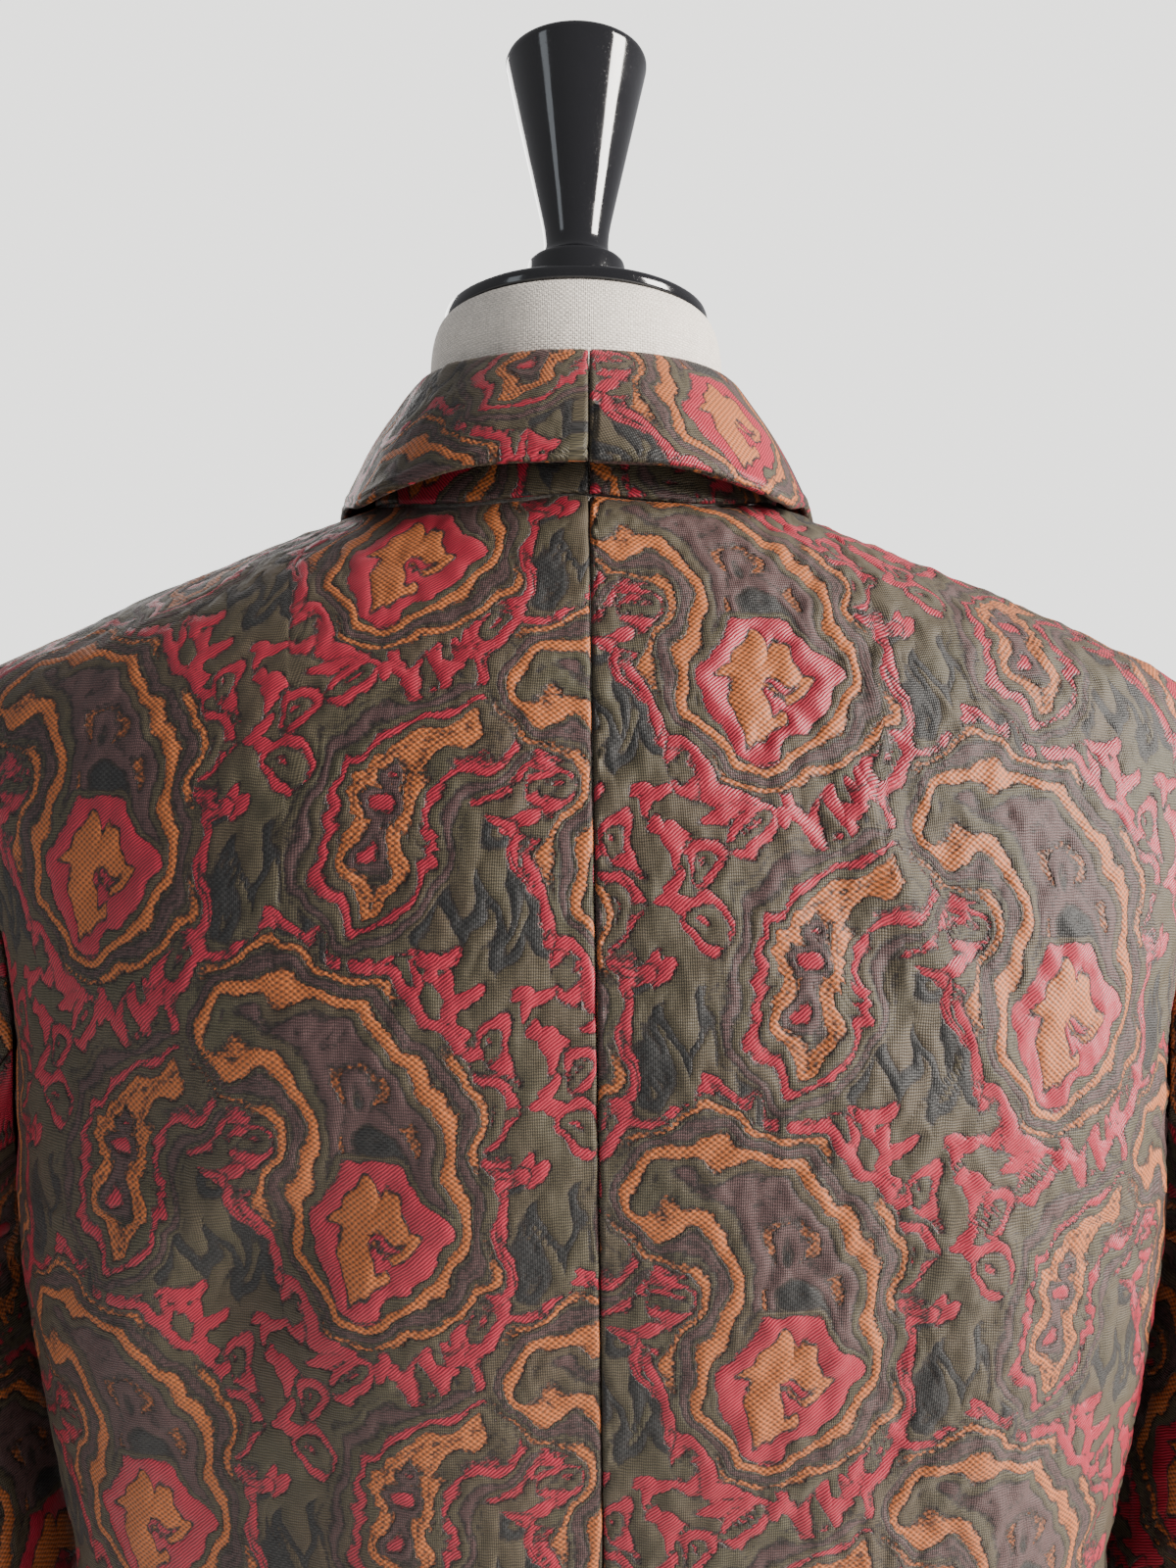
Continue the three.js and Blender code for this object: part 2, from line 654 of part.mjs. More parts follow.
function button(name, height) {
  const field = skin(1);
  const seat = settle(field, new THREE.Vector3(shiftAt(height), -120, height), 0, depthOnly);
  const normal = normalAt(field, seat);
  const r = buttonRadius;
  const t = buttonThickness;
  const profile = [
    [0, 0], [r - 1, 0], [r, 1], [r, t - 1.2], [r - 1, t], [r - 2.6, t - 0.3], [r - 4, t - 1.3], [0, t - 1.3],
  ];
  const geometry = new THREE.LatheGeometry(profile.map(([x, y]) => new THREE.Vector2(x, y)), 24);
  const made = mesh(name, geometry, horn);
  made.quaternion.setFromUnitVectors(new THREE.Vector3(0, 1, 0), normal);
  made.position.copy(seat).addScaledVector(normal, buttonSeat);
  return made;
}

// Smaller of two distances, rounded where they are close to each other.
const blendMin = (a, b, width) => -blendMax(-a, -b, width);

// The form: a slimmer body under the same shoulders, joined softly to its neck.
function formField(p) {
  const drop = formRoofDrop + formFrontDrop * (1 - smooth(-16, 4, p.y));
  const body = blendMax(column(p, formSections), aboveRoof(p) + drop, shoulderBlend);
  return blendMin(body, Math.hypot(p.x, p.y) - neckRadius, neckBlend);
}

function neckEnd(z) {
  const t = THREE.MathUtils.clamp((z - neckShoulder) / (neckTop - neckShoulder), 0, 1);
  return neckTopRadius + (neckRadius - neckTopRadius) * Math.sqrt(1 - t * t);
}

function formTorso(name) {
  const rings = formRings.map((z) => Array.from({ length: formSides }, (_, i) => {
    const angle = (2 * Math.PI * i) / formSides;
    const [cos, sin] = [Math.cos(angle), Math.sin(angle)];
    const centre = shiftAt(z);
    if (z >= neckShoulder) return new THREE.Vector3(neckEnd(z) * cos, neckEnd(z) * sin, z);
    let [low, high] = formReach;
    for (let n = 0; n < 40; n += 1) {
      const middle = (low + high) / 2;
      const inside = formField(new THREE.Vector3(centre + middle * cos, middle * sin, z)) < 0;
      if (inside) low = middle;
      else high = middle;
    }
    return new THREE.Vector3(centre + low * cos, low * sin, z);
  }));
  return mesh(name, ringSolid(rings), linen);
}

// Solid with flat ends through closed rings of points.
function ringSolid(rings) {
  const sides = rings[0].length;
  const points = rings.flat();
  const middleOf = (ring) => ring.reduce((sum, p) => sum.add(p), new THREE.Vector3())
    .multiplyScalar(1 / sides);
  const [bottom, top] = [points.length, points.length + 1];
  points.push(middleOf(rings[0]), middleOf(rings[rings.length - 1]));
  const triangles = [];
  rings.slice(1).forEach((_, j) => {
    for (let i = 0; i < sides; i += 1) {
      const [a, b] = [j * sides + i, j * sides + ((i + 1) % sides)];
      triangles.push(a, b, b + sides, a, b + sides, a + sides);
    }
  });
  const above = (rings.length - 1) * sides;
  for (let i = 0; i < sides; i += 1) {
    const next = (i + 1) % sides;
    triangles.push(next, i, bottom, above + i, above + next, top);
  }
  return outward(points, triangles);
}

// A turned piece, upright, from a profile of radius and height.
function turned(name, profile, segments, material) {
  const points = profile.map(([r, z]) => new THREE.Vector2(r, z));
  return mesh(name, new THREE.LatheGeometry(points, segments).rotateX(Math.PI / 2), material);
}

function pole(name) {
  const [from, to] = [baseProfile[baseProfile.length - 1][1] + 0.3, formBottom - 0.3];
  const profile = [[0, from], [poleRadius, from], [poleRadius, to], [0, to]];
  return turned(name, profile, 24, steel);
}

const group = new THREE.Group();
group.add(
  backPanel("back_left", 1),
  backPanel("back_right", -1),
  frontPanel("front_left", 1),
  frontPanel("front_right", -1),
  ...sleevePieces("sleeve_left", 1),
  ...sleevePieces("sleeve_right", -1),
  collar("collar_left", 1),
  collar("collar_right", -1),
  button("button_upper", buttonHeights[0]),
  button("button_lower", buttonHeights[1]),
  formTorso("form_torso"),
  turned("neck_cap", capProfile, 32, lacquer),
  turned("finial", finialProfile, 28, lacquer),
  pole("pole"),
  turned("stand_base", baseProfile, 40, steel),
);

export default group;
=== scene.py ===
"""Brocade blazer with a shawl collar on a dress form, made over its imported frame."""
import math

import bmesh
import bpy
import numpy as np
from mathutils import Matrix, Vector


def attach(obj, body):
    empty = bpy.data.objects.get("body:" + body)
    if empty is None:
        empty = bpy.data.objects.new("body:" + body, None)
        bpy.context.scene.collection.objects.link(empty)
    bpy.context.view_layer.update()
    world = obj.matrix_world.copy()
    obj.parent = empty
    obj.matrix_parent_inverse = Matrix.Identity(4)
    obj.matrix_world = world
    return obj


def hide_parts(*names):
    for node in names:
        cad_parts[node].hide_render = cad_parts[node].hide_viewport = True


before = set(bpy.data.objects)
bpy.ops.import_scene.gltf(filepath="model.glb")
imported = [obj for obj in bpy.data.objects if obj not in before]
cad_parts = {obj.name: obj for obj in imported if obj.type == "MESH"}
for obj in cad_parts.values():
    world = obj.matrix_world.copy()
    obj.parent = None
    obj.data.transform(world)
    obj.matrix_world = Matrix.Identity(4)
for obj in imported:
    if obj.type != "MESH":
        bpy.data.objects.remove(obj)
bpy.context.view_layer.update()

bl_info = {
    "name": "Brocade blazer on a dress form",
    "version": (1, 0, 0),
    "blender": (4, 5, 0),
    "location": "3D View > Sidebar > Blazer",
    "description": "Makes the cloth, the form and the stand of a brocade blazer",
    "category": "Object",
}

MM = 0.001

# The jacket is worked out in millimetres from the same tables as its solids.
SEAM_GAP = 0.18
SLEEVE_GAP = 0.35
OVERLAP_LIFT = 1.6
NAPE_HEIGHT = 1120.0
UNDERARM_HEIGHT = 864.0
BREAK_HEIGHT = 805.0
HEM_HEIGHT = 400.0
SLEEVE_TUBE_TOP = 835.0

# Oval sections of the worn body: height, half width, depth of the back, depth of the front.
BODY_SECTIONS = [
    [380, 228, 134, 131], [500, 221, 131, 128], [600, 210, 118, 122], [680, 198.5, 101, 112],
    [731, 197, 97, 109], [774, 205, 101, 111], [812, 211, 107, 115], [855, 216, 114, 121],
    [900, 216, 121, 125], [945, 217.5, 125.5, 126], [985, 226, 127, 121], [1020, 247, 126, 112],
    [1060, 285, 122, 103], [1100, 320, 116, 98], [1200, 330, 112, 94],
]
OVAL_POWER = 2.4
RIDGE_TOP = 32
RIDGE_FALL = (0.355, 0.0002, 2.6e-7)
RIDGE_ROUND = 12
BACK_ROOF_RADIUS = 88
FRONT_ROOF_RADIUS = 62
SHOULDER_BLEND = 70
SIDE_SHIFT = -6
SHIFT_SPAN = (960, 1060)
SEAM_AT_NAPE = -5
SEAM_DRIFT = 0.0131
ROOF_LEAN = 0.42  # mean slope of the shoulders, to keep distances true

# The large folds, hollows negative: depth, width, then where each lies and fades.
FOLDS_FADE_IN = (10, 60)
LOW_FOLDS_END = (905, 985)
CENTRE_HOLLOW = (-2.2, 22, (1070, 1115))
LEFT_HOLLOW = (-5, 24, 97, (560, 760))
LEFT_LEAN = (0.0035, 800)
RIGHT_SWELL = (2.6, 40, -118, (640, 800))
SKIRT_WAVE = (3, 23, 0.6, (430, 640))
FRONT_SKIRT = (0.6, (40, 90))
CHEST_HOLLOW = (-2.4, 26, 135, 860, 90)

# Where the two fronts lie over each other: across, in depth, and up to the break.
CLOSING_ACROSS = (24, 62)
CLOSING_DEPTH = (60, 90)
CLOSING_TOP = (785, 835)
HEM_OVAL = (200, 125)  # rough half width and depth, to start from

# Seam lines of the left half: across, back, height. The right half mirrors them.
BACK_NECK = [
    [0, 75, 1120], [27, 71.5, 1119], [49, 61, 1117], [65, 45, 1121], [74.5, 27, 1125],
    [78, 8, 1127],
]
NECK_CELLS = 8
SHOULDER_SEAM = [[78, 8, 1127], [130, 3, 1107], [182, -1, 1083], [235, -3, 1058]]
SHOULDER_CELLS = 8
ARMHOLE = [
    [235, -3, 1058], [232.5, 14, 1046], [226.5, 30, 1022], [216.5, 43, 988], [208, 51, 950],
    [206, 50, 914], [210.5, 30, 880], [216, 0, 864], [210, -32, 880], [203, -54, 914],
    [202, -62, 950], [207, -56, 988], [220, -38, 1022], [231, -18, 1046],
]
ARMHOLE_CELLS = 24
FRONT_NECK = [
    [78, 8, 1127], [77.8, -6, 1126], [77, -19, 1123], [75.4, -32, 1118], [73, -45, 1109],
    [70, -58, 1096], [66.5, -70, 1080],
]
ROLL_CELLS = 7
BREAK_ACROSS = 8
FRONT_EDGE = [
    [2, 790], [-14, 770], [-18, 735], [-18, 685], [-18, 630], [-18, 570], [-18, 506], [-14, 446],
    [14, 400],
]
BACK_ROWS = 12  # from the nape to the underarm
FINE_ROWS = 15  # of the back's rows, from the top, those with the fine mesh
SIDE_HEIGHTS = [828, 790, 750, 710, 665, 615, 562, 508, 454, 400]

# Sleeve tube: height, edge next to the body, half width, centre, half depth.
SLEEVE_SECTIONS = [
    [835, 217.5, 38, -3, 70], [800, 213, 38, -4, 68.5], [760, 207, 38, -6, 66.5],
    [720, 202, 37.5, -8, 64.5], [680, 202.8, 37, -11, 62.5], [640, 207.5, 36.5, -15, 60.5],
    [600, 213.5, 36, -19, 58.5], [550, 219.5, 35, -25, 56.5], [500, 224.5, 34, -31, 54.5],
    [438, 229, 33, -38, 52.5],
]
CAP_ROWS = 7
HIND_SEAM = 8
FORE_SEAM = 16
ARMHOLE_MIDDLE = (222, -4, 965)
LOW_ARMHOLE = (940, 1010)
HEAD_DROP = (0.1, 0.42)  # how steeply the sleeve leaves the armhole, top and change
HEAD_LEAN = 0.35  # and how far it leans to the back or front
HEAD_PULL = (0.55, 0.9)  # how long it keeps its way, at the armhole and at the tube

# Collar: station along the neckline, height of the stand, free edge of the fall and lapel.
COLLAR_STATIONS = [
    [0, 60, 0, 88, 1125], [2, 60, 33, 85.5, 1124], [4, 60, 59, 75, 1119.5],
    [6, 60, 77, 53, 1118], [8, 60, 90, 12, 1126], [10, 43, 98, -20, 1117],
    [12, 29, 108, -46, 1097],
    [14, 8, 120, -74, 1062], [15, 4, 121, -92, 1026], [16, 3.2, 116, -104, 984],
    [17, 3.2, 106, -111, 944], [18, 3.2, 91, -116, 907], [19, 3.2, 69, -119, 872],
    [20, 3.2, 42, -121, 838], [21, 3.2, 18, -122, 808],
]
COLLAR_STATION_COUNT = 22
FORWARD_TURN = (11.5, 15)
ROLL_RING = (59.9, 61, 1170)
ROLL_DIP = 4
ROLL_RADIUS = 2.3
ROLL_DEGREES = (45, 90, 135, 180)
STAND_PARTS = (0, 1 / 3, 2 / 3, 1)
STAND_FOOT = (0.45, -0.2)  # start of the stand from the seam: up it, and outwards
FALL_PARTS = (0.2, 0.4, 0.6, 0.8, 1)
FALL_SWELL = 2.2
LAPEL_RISE = 30
LAPEL_LIFT = 3.4
COLLAR_HALF_WALL = 1.3

# Dress form: height, half width, depth of the back, depth of the front.
FORM_SECTIONS = [
    [440, 176, 108, 98], [520, 184, 115, 105], [600, 178, 106, 104], [680, 158, 86, 91],
    [731, 151, 80, 87], [800, 163, 90, 98], [860, 176, 102, 109], [930, 186, 114, 118],
    [985, 190, 119, 115], [1020, 193, 119, 106], [1060, 196, 115, 97], [1200, 200, 108, 90],
]
FORM_BOTTOM = 450
FORM_ROOF_DROP = 3.3
FORM_FRONT_DROP = 1.4
NECK_RADIUS = 57.6
NECK_SHOULDER = 1180
NECK_TOP = 1199
NECK_TOP_RADIUS = 52
NECK_BLEND = 15
FORM_REACH = (20, 260)  # its surface is looked for between these distances
REACH_HALVINGS = 22
NECK_ROUND_RINGS = 14

# Turned pieces: radius and height along the profile.
CAP_PROFILE = [
    (0, 1199.3), (50.4, 1199.3), (51.5, 1199.8), (52, 1200.9), (52, 1203.2), (51.6, 1204.2),
    (50.6, 1204.9), (48.6, 1205.3), (46, 1205.4), (0, 1205.4),
]
FINIAL_PROFILE = [
    (0, 1205.7), (18.6, 1205.7), (19.2, 1206), (19.4, 1206.8), (19.4, 1225), (19.1, 1226.2),
    (18.3, 1227), (16.4, 1227.6), (14.6, 1228.4), (13.4, 1229.8), (12.9, 1231.8), (12.8, 1235),
    (13.1, 1239), (13.9, 1243.4), (16.4, 1254.4), (19.6, 1268.2), (23.8, 1286.4), (27.8, 1303.6),
    (28, 1304.8), (28, 1305.9), (27.6, 1306.8), (26.8, 1307.3), (25.6, 1307.4), (0, 1307.4),
]
POLE_PROFILE = [(0, 22.3), (13.6, 22.3), (14, 22.7), (14, 449.3), (13.6, 449.7), (0, 449.7)]
BASE_PROFILE = [
    (0, 0), (169, 0), (172.5, 0.8), (174.6, 2.6), (175, 5), (174.6, 8), (173, 10.4), (169, 12),
    (150, 14), (110, 16.4), (60, 19), (38, 20.6), (30, 21.6), (24, 22), (0, 22),
]
BUTTON_PROFILE = [
    (0, 0), (10, 0), (10.8, 0.3), (11, 1), (11, 3), (10.7, 3.8), (10, 4.2), (9.2, 4.2),
    (8.4, 3.9), (7.7, 3.2), (7, 2.9), (0, 2.9),
]
BUTTON_HEIGHTS = (762, 650)
BUTTON_SEAT = 0.45

# Creases: across and height of both ends, half width, height, back (1) or front (-1).
CREASES = [
    (68, 908, 124, 812, 18, -5.2, 1), (112, 900, 160, 818, 14, 2.2, 1),
    (122, 806, 138, 700, 18, -3.6, 1), (44, 700, 78, 560, 20, -2.2, 1),
    (-70, 1012, -112, 930, 8, -1.3, 1), (-88, 1018, -132, 925, 7, 1.2, 1),
    (-106, 1014, -150, 915, 8, -1.4, 1),
    (-96, 892, -112, 770, 13, -2.2, 1), (-128, 880, -146, 775, 14, 1.8, 1),
    (-60, 690, -92, 540, 18, -2.4, 1), (-150, 640, -168, 500, 16, 1.6, 1),
    (60, 985, 108, 962, 9, -0.9, 1), (150, 1000, 172, 930, 10, -1.3, 1),
    (88, 780, 150, 828, 12, -1.6, -1), (70, 742, 138, 775, 13, -1.6, -1),
    (-84, 772, -150, 815, 12, -1.8, -1), (-60, 728, -140, 748, 13, -1.5, -1),
    (120, 560, 136, 440, 18, -2.0, -1), (-110, 580, -132, 430, 18, -2.2, -1),
    (214, 716, 268, 690, 8, -2.0, 1), (218, 690, 272, 668, 8, 1.4, 1),
    (216, 664, 270, 648, 9, -1.8, 1), (-214, 722, -268, 700, 8, -2.2, 1),
    (-218, 690, -272, 676, 8, 1.4, 1), (-220, 660, -274, 640, 9, -1.6, 1),
    (222, 700, 276, 676, 8, -2.2, -1), (224, 662, 280, 640, 9, -1.6, -1),
    (-222, 694, -276, 674, 8, -2.2, -1), (-224, 652, -280, 636, 9, -1.8, -1),
    (232, 540, 284, 520, 10, -1.4, 1), (-232, 556, -286, 530, 10, -1.6, 1),
]

# Woven figure, in millimetres on the flat cloth. Each disc is across, up, radius.
REPEAT = (90.0, 220.0)
DROP_DISCS = [
    (2, -36, 24), (6, -18, 22), (7, -2, 17), (2, 13, 13), (-7, 25, 9.5), (-18, 33, 7),
    (-29, 35, 5), (-38, 31, 3), (-42, 24, 1.6),
]
DROP_SOFTEN = 5.0

# Distances from the drop's edge, negative inside: bands of yarn and thin dark lines.
DROP_CORE = (-16, -11)
DROP_INSIDE = (-11, -3)
DROP_SPINE = (-8.2, -6.4)
DROP_EDGE = (0, 4.3)
DROP_HALO = (5.2, 8.2)
DROP_CHAIN = (9.4, 12.1)
DROP_OUTER_CHAIN = (12.9, 17.2)
DROP_CONTOURS = (-7.2, 6.7, 17.6)
DROP_ROOM = 12.2  # sprigs and zigzags stay outside this distance
LEAF_CLEAR = 13.2  # and leaves outside this one

# Round motifs in the drop: place, share of their height that counts, radius, then lobes,
# each with size, count and phase.
DROP_HEART = (2, -34)
HEART_SQUASH = 0.86
HEART = ((0, 0), 1, 20.5, [(1.6, 3, 1.1), (1.0, 7, 0), (0.6, 13, 0)])
BLOOM = ((-1.5, 0), 0.8, 10.8, [(2.2, 3, 0.4), (1.7, 6, 2.0), (1.0, 11, 0)])
SEED = ((3.5, -3), 1, 3.6, [(1.4, 3, 0), (0.8, 8, 0)])
HEART_MARGIN = 2.4

# Toothed outlines: size of the teeth, count round the motif, sway, its count, and pitch.
CHAIN_TEETH = (0.8, 12, 2, 3, 3.4)
LEAF_TEETH = (1.1, 14, 3, 1, 6.0)
CHAIN_GAPS = (2.6, 4, 0.6, 0.4)
SPINE_STITCHES = (2, 3.0, 0.4)
LEAF_PLACE = (8, 96)
LEAF_DISCS = [
    (-3, -26, 7), (-6, -14, 12), (-4, 0, 14), (3, 13, 11.5), (12, 22, 8), (21, 26, 5),
    (29, 24, 2.6),
]
LEAF_SOFTEN = 4.5
LEAF_INSIDE = (-9.2, -6.8)
LEAF_RUST = (-6.8, -2.6)
LEAF_CRIMSON = (0.2, 3.2)
LEAF_HALO = (6.0, 8.6)
LEAF_CONTOURS = (-4.7, 10.8)
LEAF_ROOM = 8.6
OPEN_SPRIG = 4.7  # sprigs larger than this are open rings
SPRIGS = [
    (-36, -30, 5.6), (-44, -18, 4.2), (-35, -8, 4.8), (-42, 3, 3.8), (37, -58, 5.4),
    (29, -69, 4.2), (43, -72, 4.8), (20, -76, 3.8), (38, 6, 5.6), (31, 18, 4.4), (42, 26, 5.2),
    (28, 32, 4.0), (14, 42, 5.4), (25, 50, 4.0), (3, 51, 4.0), (-11, 53, 5.0), (-22, 61, 4.0),
    (-31, 52, 4.6), (-26, 110, 5.8), (-34, 122, 4.6), (-21, 129, 5.0), (-31, 137, 3.8),
    (-9, 137, 5.2), (2, 142, 4.2), (14, 139, 4.8), (-41, 96, 4.2), (38, 108, 5.0),
    (43, 121, 4.2), (-16, -72, 4.6), (-28, -62, 5.0), (-38, -72, 4.0), (33, 44, 4.4),
]
ZIGZAGS = [
    (-24, 80, 18, 9), (36, 66, 16, 8), (24, 130, 18, 8), (-2, 62, 20, 6), (-40, -50, 12, 7),
    (40, -40, 10, 8),
]
ZIGZAG_PITCH = 11
ZIGZAG_SLANT = 0.3
ZIGZAG_HALF_WIDTH = 2.3
RINGS = [(-42, 66, 5.0), (42, 88, 4.4), (38, 144, 4.6), (44, -16, 4.2), (-6, 76, 4.0)]
RING_HALF_WIDTH = 1.6
FAR = 60.0

# Waves that bend the figure: size, turns across and up the repeat, and phase.
BEND_ACROSS = [(2.4, 1, 4, 0.7), (1.5, -2, 8, 2.1), (0.8, 5, 10, 4.0), (0.25, -9, 22, 1.0)]
BEND_UP = [(2.6, 2, -4, 1.9), (1.5, 3, 6, 0.3), (0.8, -6, 12, 5.2), (0.25, 10, 20, 2.6)]

# Relief of the figure and heights of the puckers, in shares of their settings.
RELIEF_TOP = 0.6
OUTLINE_REACH = 1.6
PUCKER_RIGHT = (15, 90)  # the puckers grow over this stretch of the wearer's right
PUCKER_RIDGES = (0.2, 0.14)  # height on the left, and what the right adds
PUCKER_SMALL = (0.09, 0.22)
PUCKER_BROAD = 0.5


def smooth(low, high, x):
    t = np.clip((x - low) / (high - low), 0, 1)
    return t * t * (3 - 2 * t)


def bell(x, width):
    return np.exp(-((x / width) ** 2))


def hermite(start, end, leave, arrive, t):
    """Cubic from one value to another, with its slopes at both ends."""
    t2, t3 = t * t, t * t * t
    return (start * (2 * t3 - 3 * t2 + 1) + leave * (t3 - 2 * t2 + t)
            + end * (3 * t2 - 2 * t3) + arrive * (t3 - t2))


def along(table, z, column):
    """Value of one column of a table of sections at a height, by a smooth curve."""
    rows = np.array(table if table[-1][0] > table[0][0] else table[::-1], dtype=float)
    heights, values = rows[:, 0], rows[:, column]
    order = np.arange(len(rows))
    before, after = np.maximum(order - 1, 0), np.minimum(order + 1, len(rows) - 1)
    slopes = (values[after] - values[before]) / (heights[after] - heights[before])
    k = np.clip(np.searchsorted(heights, z) - 1, 0, len(rows) - 2)
    step = heights[k + 1] - heights[k]
    t = np.clip((z - heights[k]) / step, 0, 1)
    return hermite(values[k], values[k + 1], step * slopes[k], step * slopes[k + 1], t)


def shift_at(z):
    return SIDE_SHIFT * (1 - smooth(*SHIFT_SPAN, z))


def seam_across(z):
    return SEAM_AT_NAPE - SEAM_DRIFT * np.minimum(NAPE_HEIGHT - z, 400)


def blend_max(a, b, width):
    near = np.maximum(width - np.abs(a - b), 0) / width
    return np.maximum(a, b) + near * near * width / 4


def column(points, sections):
    """Signed distance, roughly, to an upright oval column."""
    x, y, z = points[..., 0] - shift_at(points[..., 2]), points[..., 1], points[..., 2]
    depth = np.where(y > 0, along(sections, z, 2), along(sections, z, 3))
    across = np.abs(x / along(sections, z, 1)) ** OVAL_POWER
    scale = (across + np.abs(y / depth) ** OVAL_POWER) ** (1 / OVAL_POWER)
    return np.hypot(x, y) * (1 - 1 / np.maximum(scale, 1e-6))


def above_roof(points):
    """Height of a point above the sloping shoulders, across their slope."""
    x, y, z = points[..., 0], points[..., 1], points[..., 2]
    s = np.hypot(x, RIDGE_ROUND) - RIDGE_ROUND
    ridge = RIDGE_TOP - RIDGE_FALL[0] * s - RIDGE_FALL[1] * s * s - RIDGE_FALL[2] * s ** 3
    radius = np.where(y > 0, BACK_ROOF_RADIUS, FRONT_ROOF_RADIUS)
    roof = NAPE_HEIGHT + ridge - y * y / (2 * radius)
    return (z - roof) / np.sqrt(1 + ROOF_LEAN ** 2 + (y / radius) ** 2)


def folds(points):
    """The large folds: hollows are negative."""
    y, z = points[..., 1], points[..., 2]
    x = points[..., 0] - shift_at(z)
    back, front = smooth(*FOLDS_FADE_IN, y), smooth(*FOLDS_FADE_IN, -y)
    low = 1 - smooth(*LOW_FOLDS_END, z)
    depth, width, ends = CENTRE_HOLLOW
    hollows = depth * bell(points[..., 0] - seam_across(z), width) * (1 - smooth(*ends, z))
    lean, lean_from = LEFT_LEAN
    for (depth, width, across, starts), bent in ((LEFT_HOLLOW, lean), (RIGHT_SWELL, 0)):
        middle = across + bent * np.maximum(z - lean_from, 0) ** 2
        hollows = hollows + depth * bell(x - middle, width) * low * smooth(*starts, z)
    depth, length, phase, ends = SKIRT_WAVE
    skirt = depth * np.cos(x / length + phase) * (1 - smooth(*ends, z))
    depth, width, across, height, reach = CHEST_HOLLOW
    chest = depth * bell(np.abs(x) - across, width) * bell(z - height, reach)
    share, starts = FRONT_SKIRT
    return (back * (hollows + skirt)
            + front * (chest + share * skirt * smooth(*starts, np.abs(x))))


def closing(points, side):
    """The left front stands proud along the closing and the right one is set back."""
    y, z = points[..., 1], points[..., 2]
    near = 1 - smooth(*CLOSING_ACROSS, np.abs(points[..., 0] - shift_at(z)))
    below = 1 - smooth(*CLOSING_TOP, z)
    return side * OVERLAP_LIFT * near * smooth(*CLOSING_DEPTH, -y) * below


def skin(side):
    def field(points):
        body = blend_max(column(points, BODY_SECTIONS), above_roof(points), SHOULDER_BLEND)
        return body - folds(points) - closing(points, side)
    return field


def gradient(field, points):
    slopes = []
    for axis in np.eye(3) * 0.5:
        slopes.append(field(points + axis) - field(points - axis))
    return np.stack(slopes, axis=-1)


def unit(vectors):
    return vectors / np.maximum(np.linalg.norm(vectors, axis=-1, keepdims=True), 1e-9)


def settle(field, points, level=0.0, free=(1, 1, 1), rounds=7):
    """Moves points onto the surface where the field has the given level."""
    q = np.array(points, dtype=float)
    for _ in range(rounds):
        g = gradient(field, q) * np.array(free)
        q += g * ((level - field(q)) / np.sum(g * g, axis=-1))[..., None]
    return q


def placed(table, side):
    rows = np.array(table, dtype=float)
    rows[..., 0] = side * rows[..., 0] + shift_at(rows[..., 2])
    return rows


def around(table, index, closed=False):
    """The four rows of a table about each count between its rows, and the part past the second."""
    n = len(table)
    k = np.clip(np.floor(index).astype(int), 0, (n if closed else n - 1) - 1)
    part = (index - k).reshape((-1,) + (1,) * (table.ndim - 1))
    if closed:
        return [table[(k + step) % n] for step in (-1, 0, 1, 2)], part
    longer = np.concatenate([2 * table[:1] - table[1:2], table, 2 * table[-1:] - table[-2:-1]])
    return [longer[k + step] for step in range(4)], part


def through(points, index, closed=False):
    """Places on a smooth line through points, at counts along it that may lie between them."""
    (p0, p1, p2, p3), w = around(points, index, closed)
    d0, d1, d2 = (np.maximum(np.sqrt(np.linalg.norm(b - a, axis=-1, keepdims=True)), 1e-6)
                  for a, b in ((p0, p1), (p1, p2), (p2, p3)))
    leave = ((p1 - p0) / d0 - (p2 - p0) / (d0 + d1) + (p2 - p1) / d1) * d1
    arrive = ((p2 - p1) / d1 - (p3 - p1) / (d1 + d2) + (p3 - p2) / d2) * d1
    return hermite(p1, p2, leave, arrive, w)


class Seam:
    """A seam line of one or more smooth stretches, counted as on the solids."""

    def __init__(self, field, *stretches):
        self.field = field
        self.stretches = [np.asarray(part) for part in stretches]
        self.count = sum(len(part) - 1 for part in self.stretches)

    def at(self, index):
        placed_at = np.zeros((len(index), 3))
        start = 0
        for part in self.stretches:
            cells = len(part) - 1
            here = (index >= start) & (index <= start + cells)
            placed_at[here] = through(part, index[here] - start)
            start += cells
        return settle(self.field, placed_at, rounds=4)


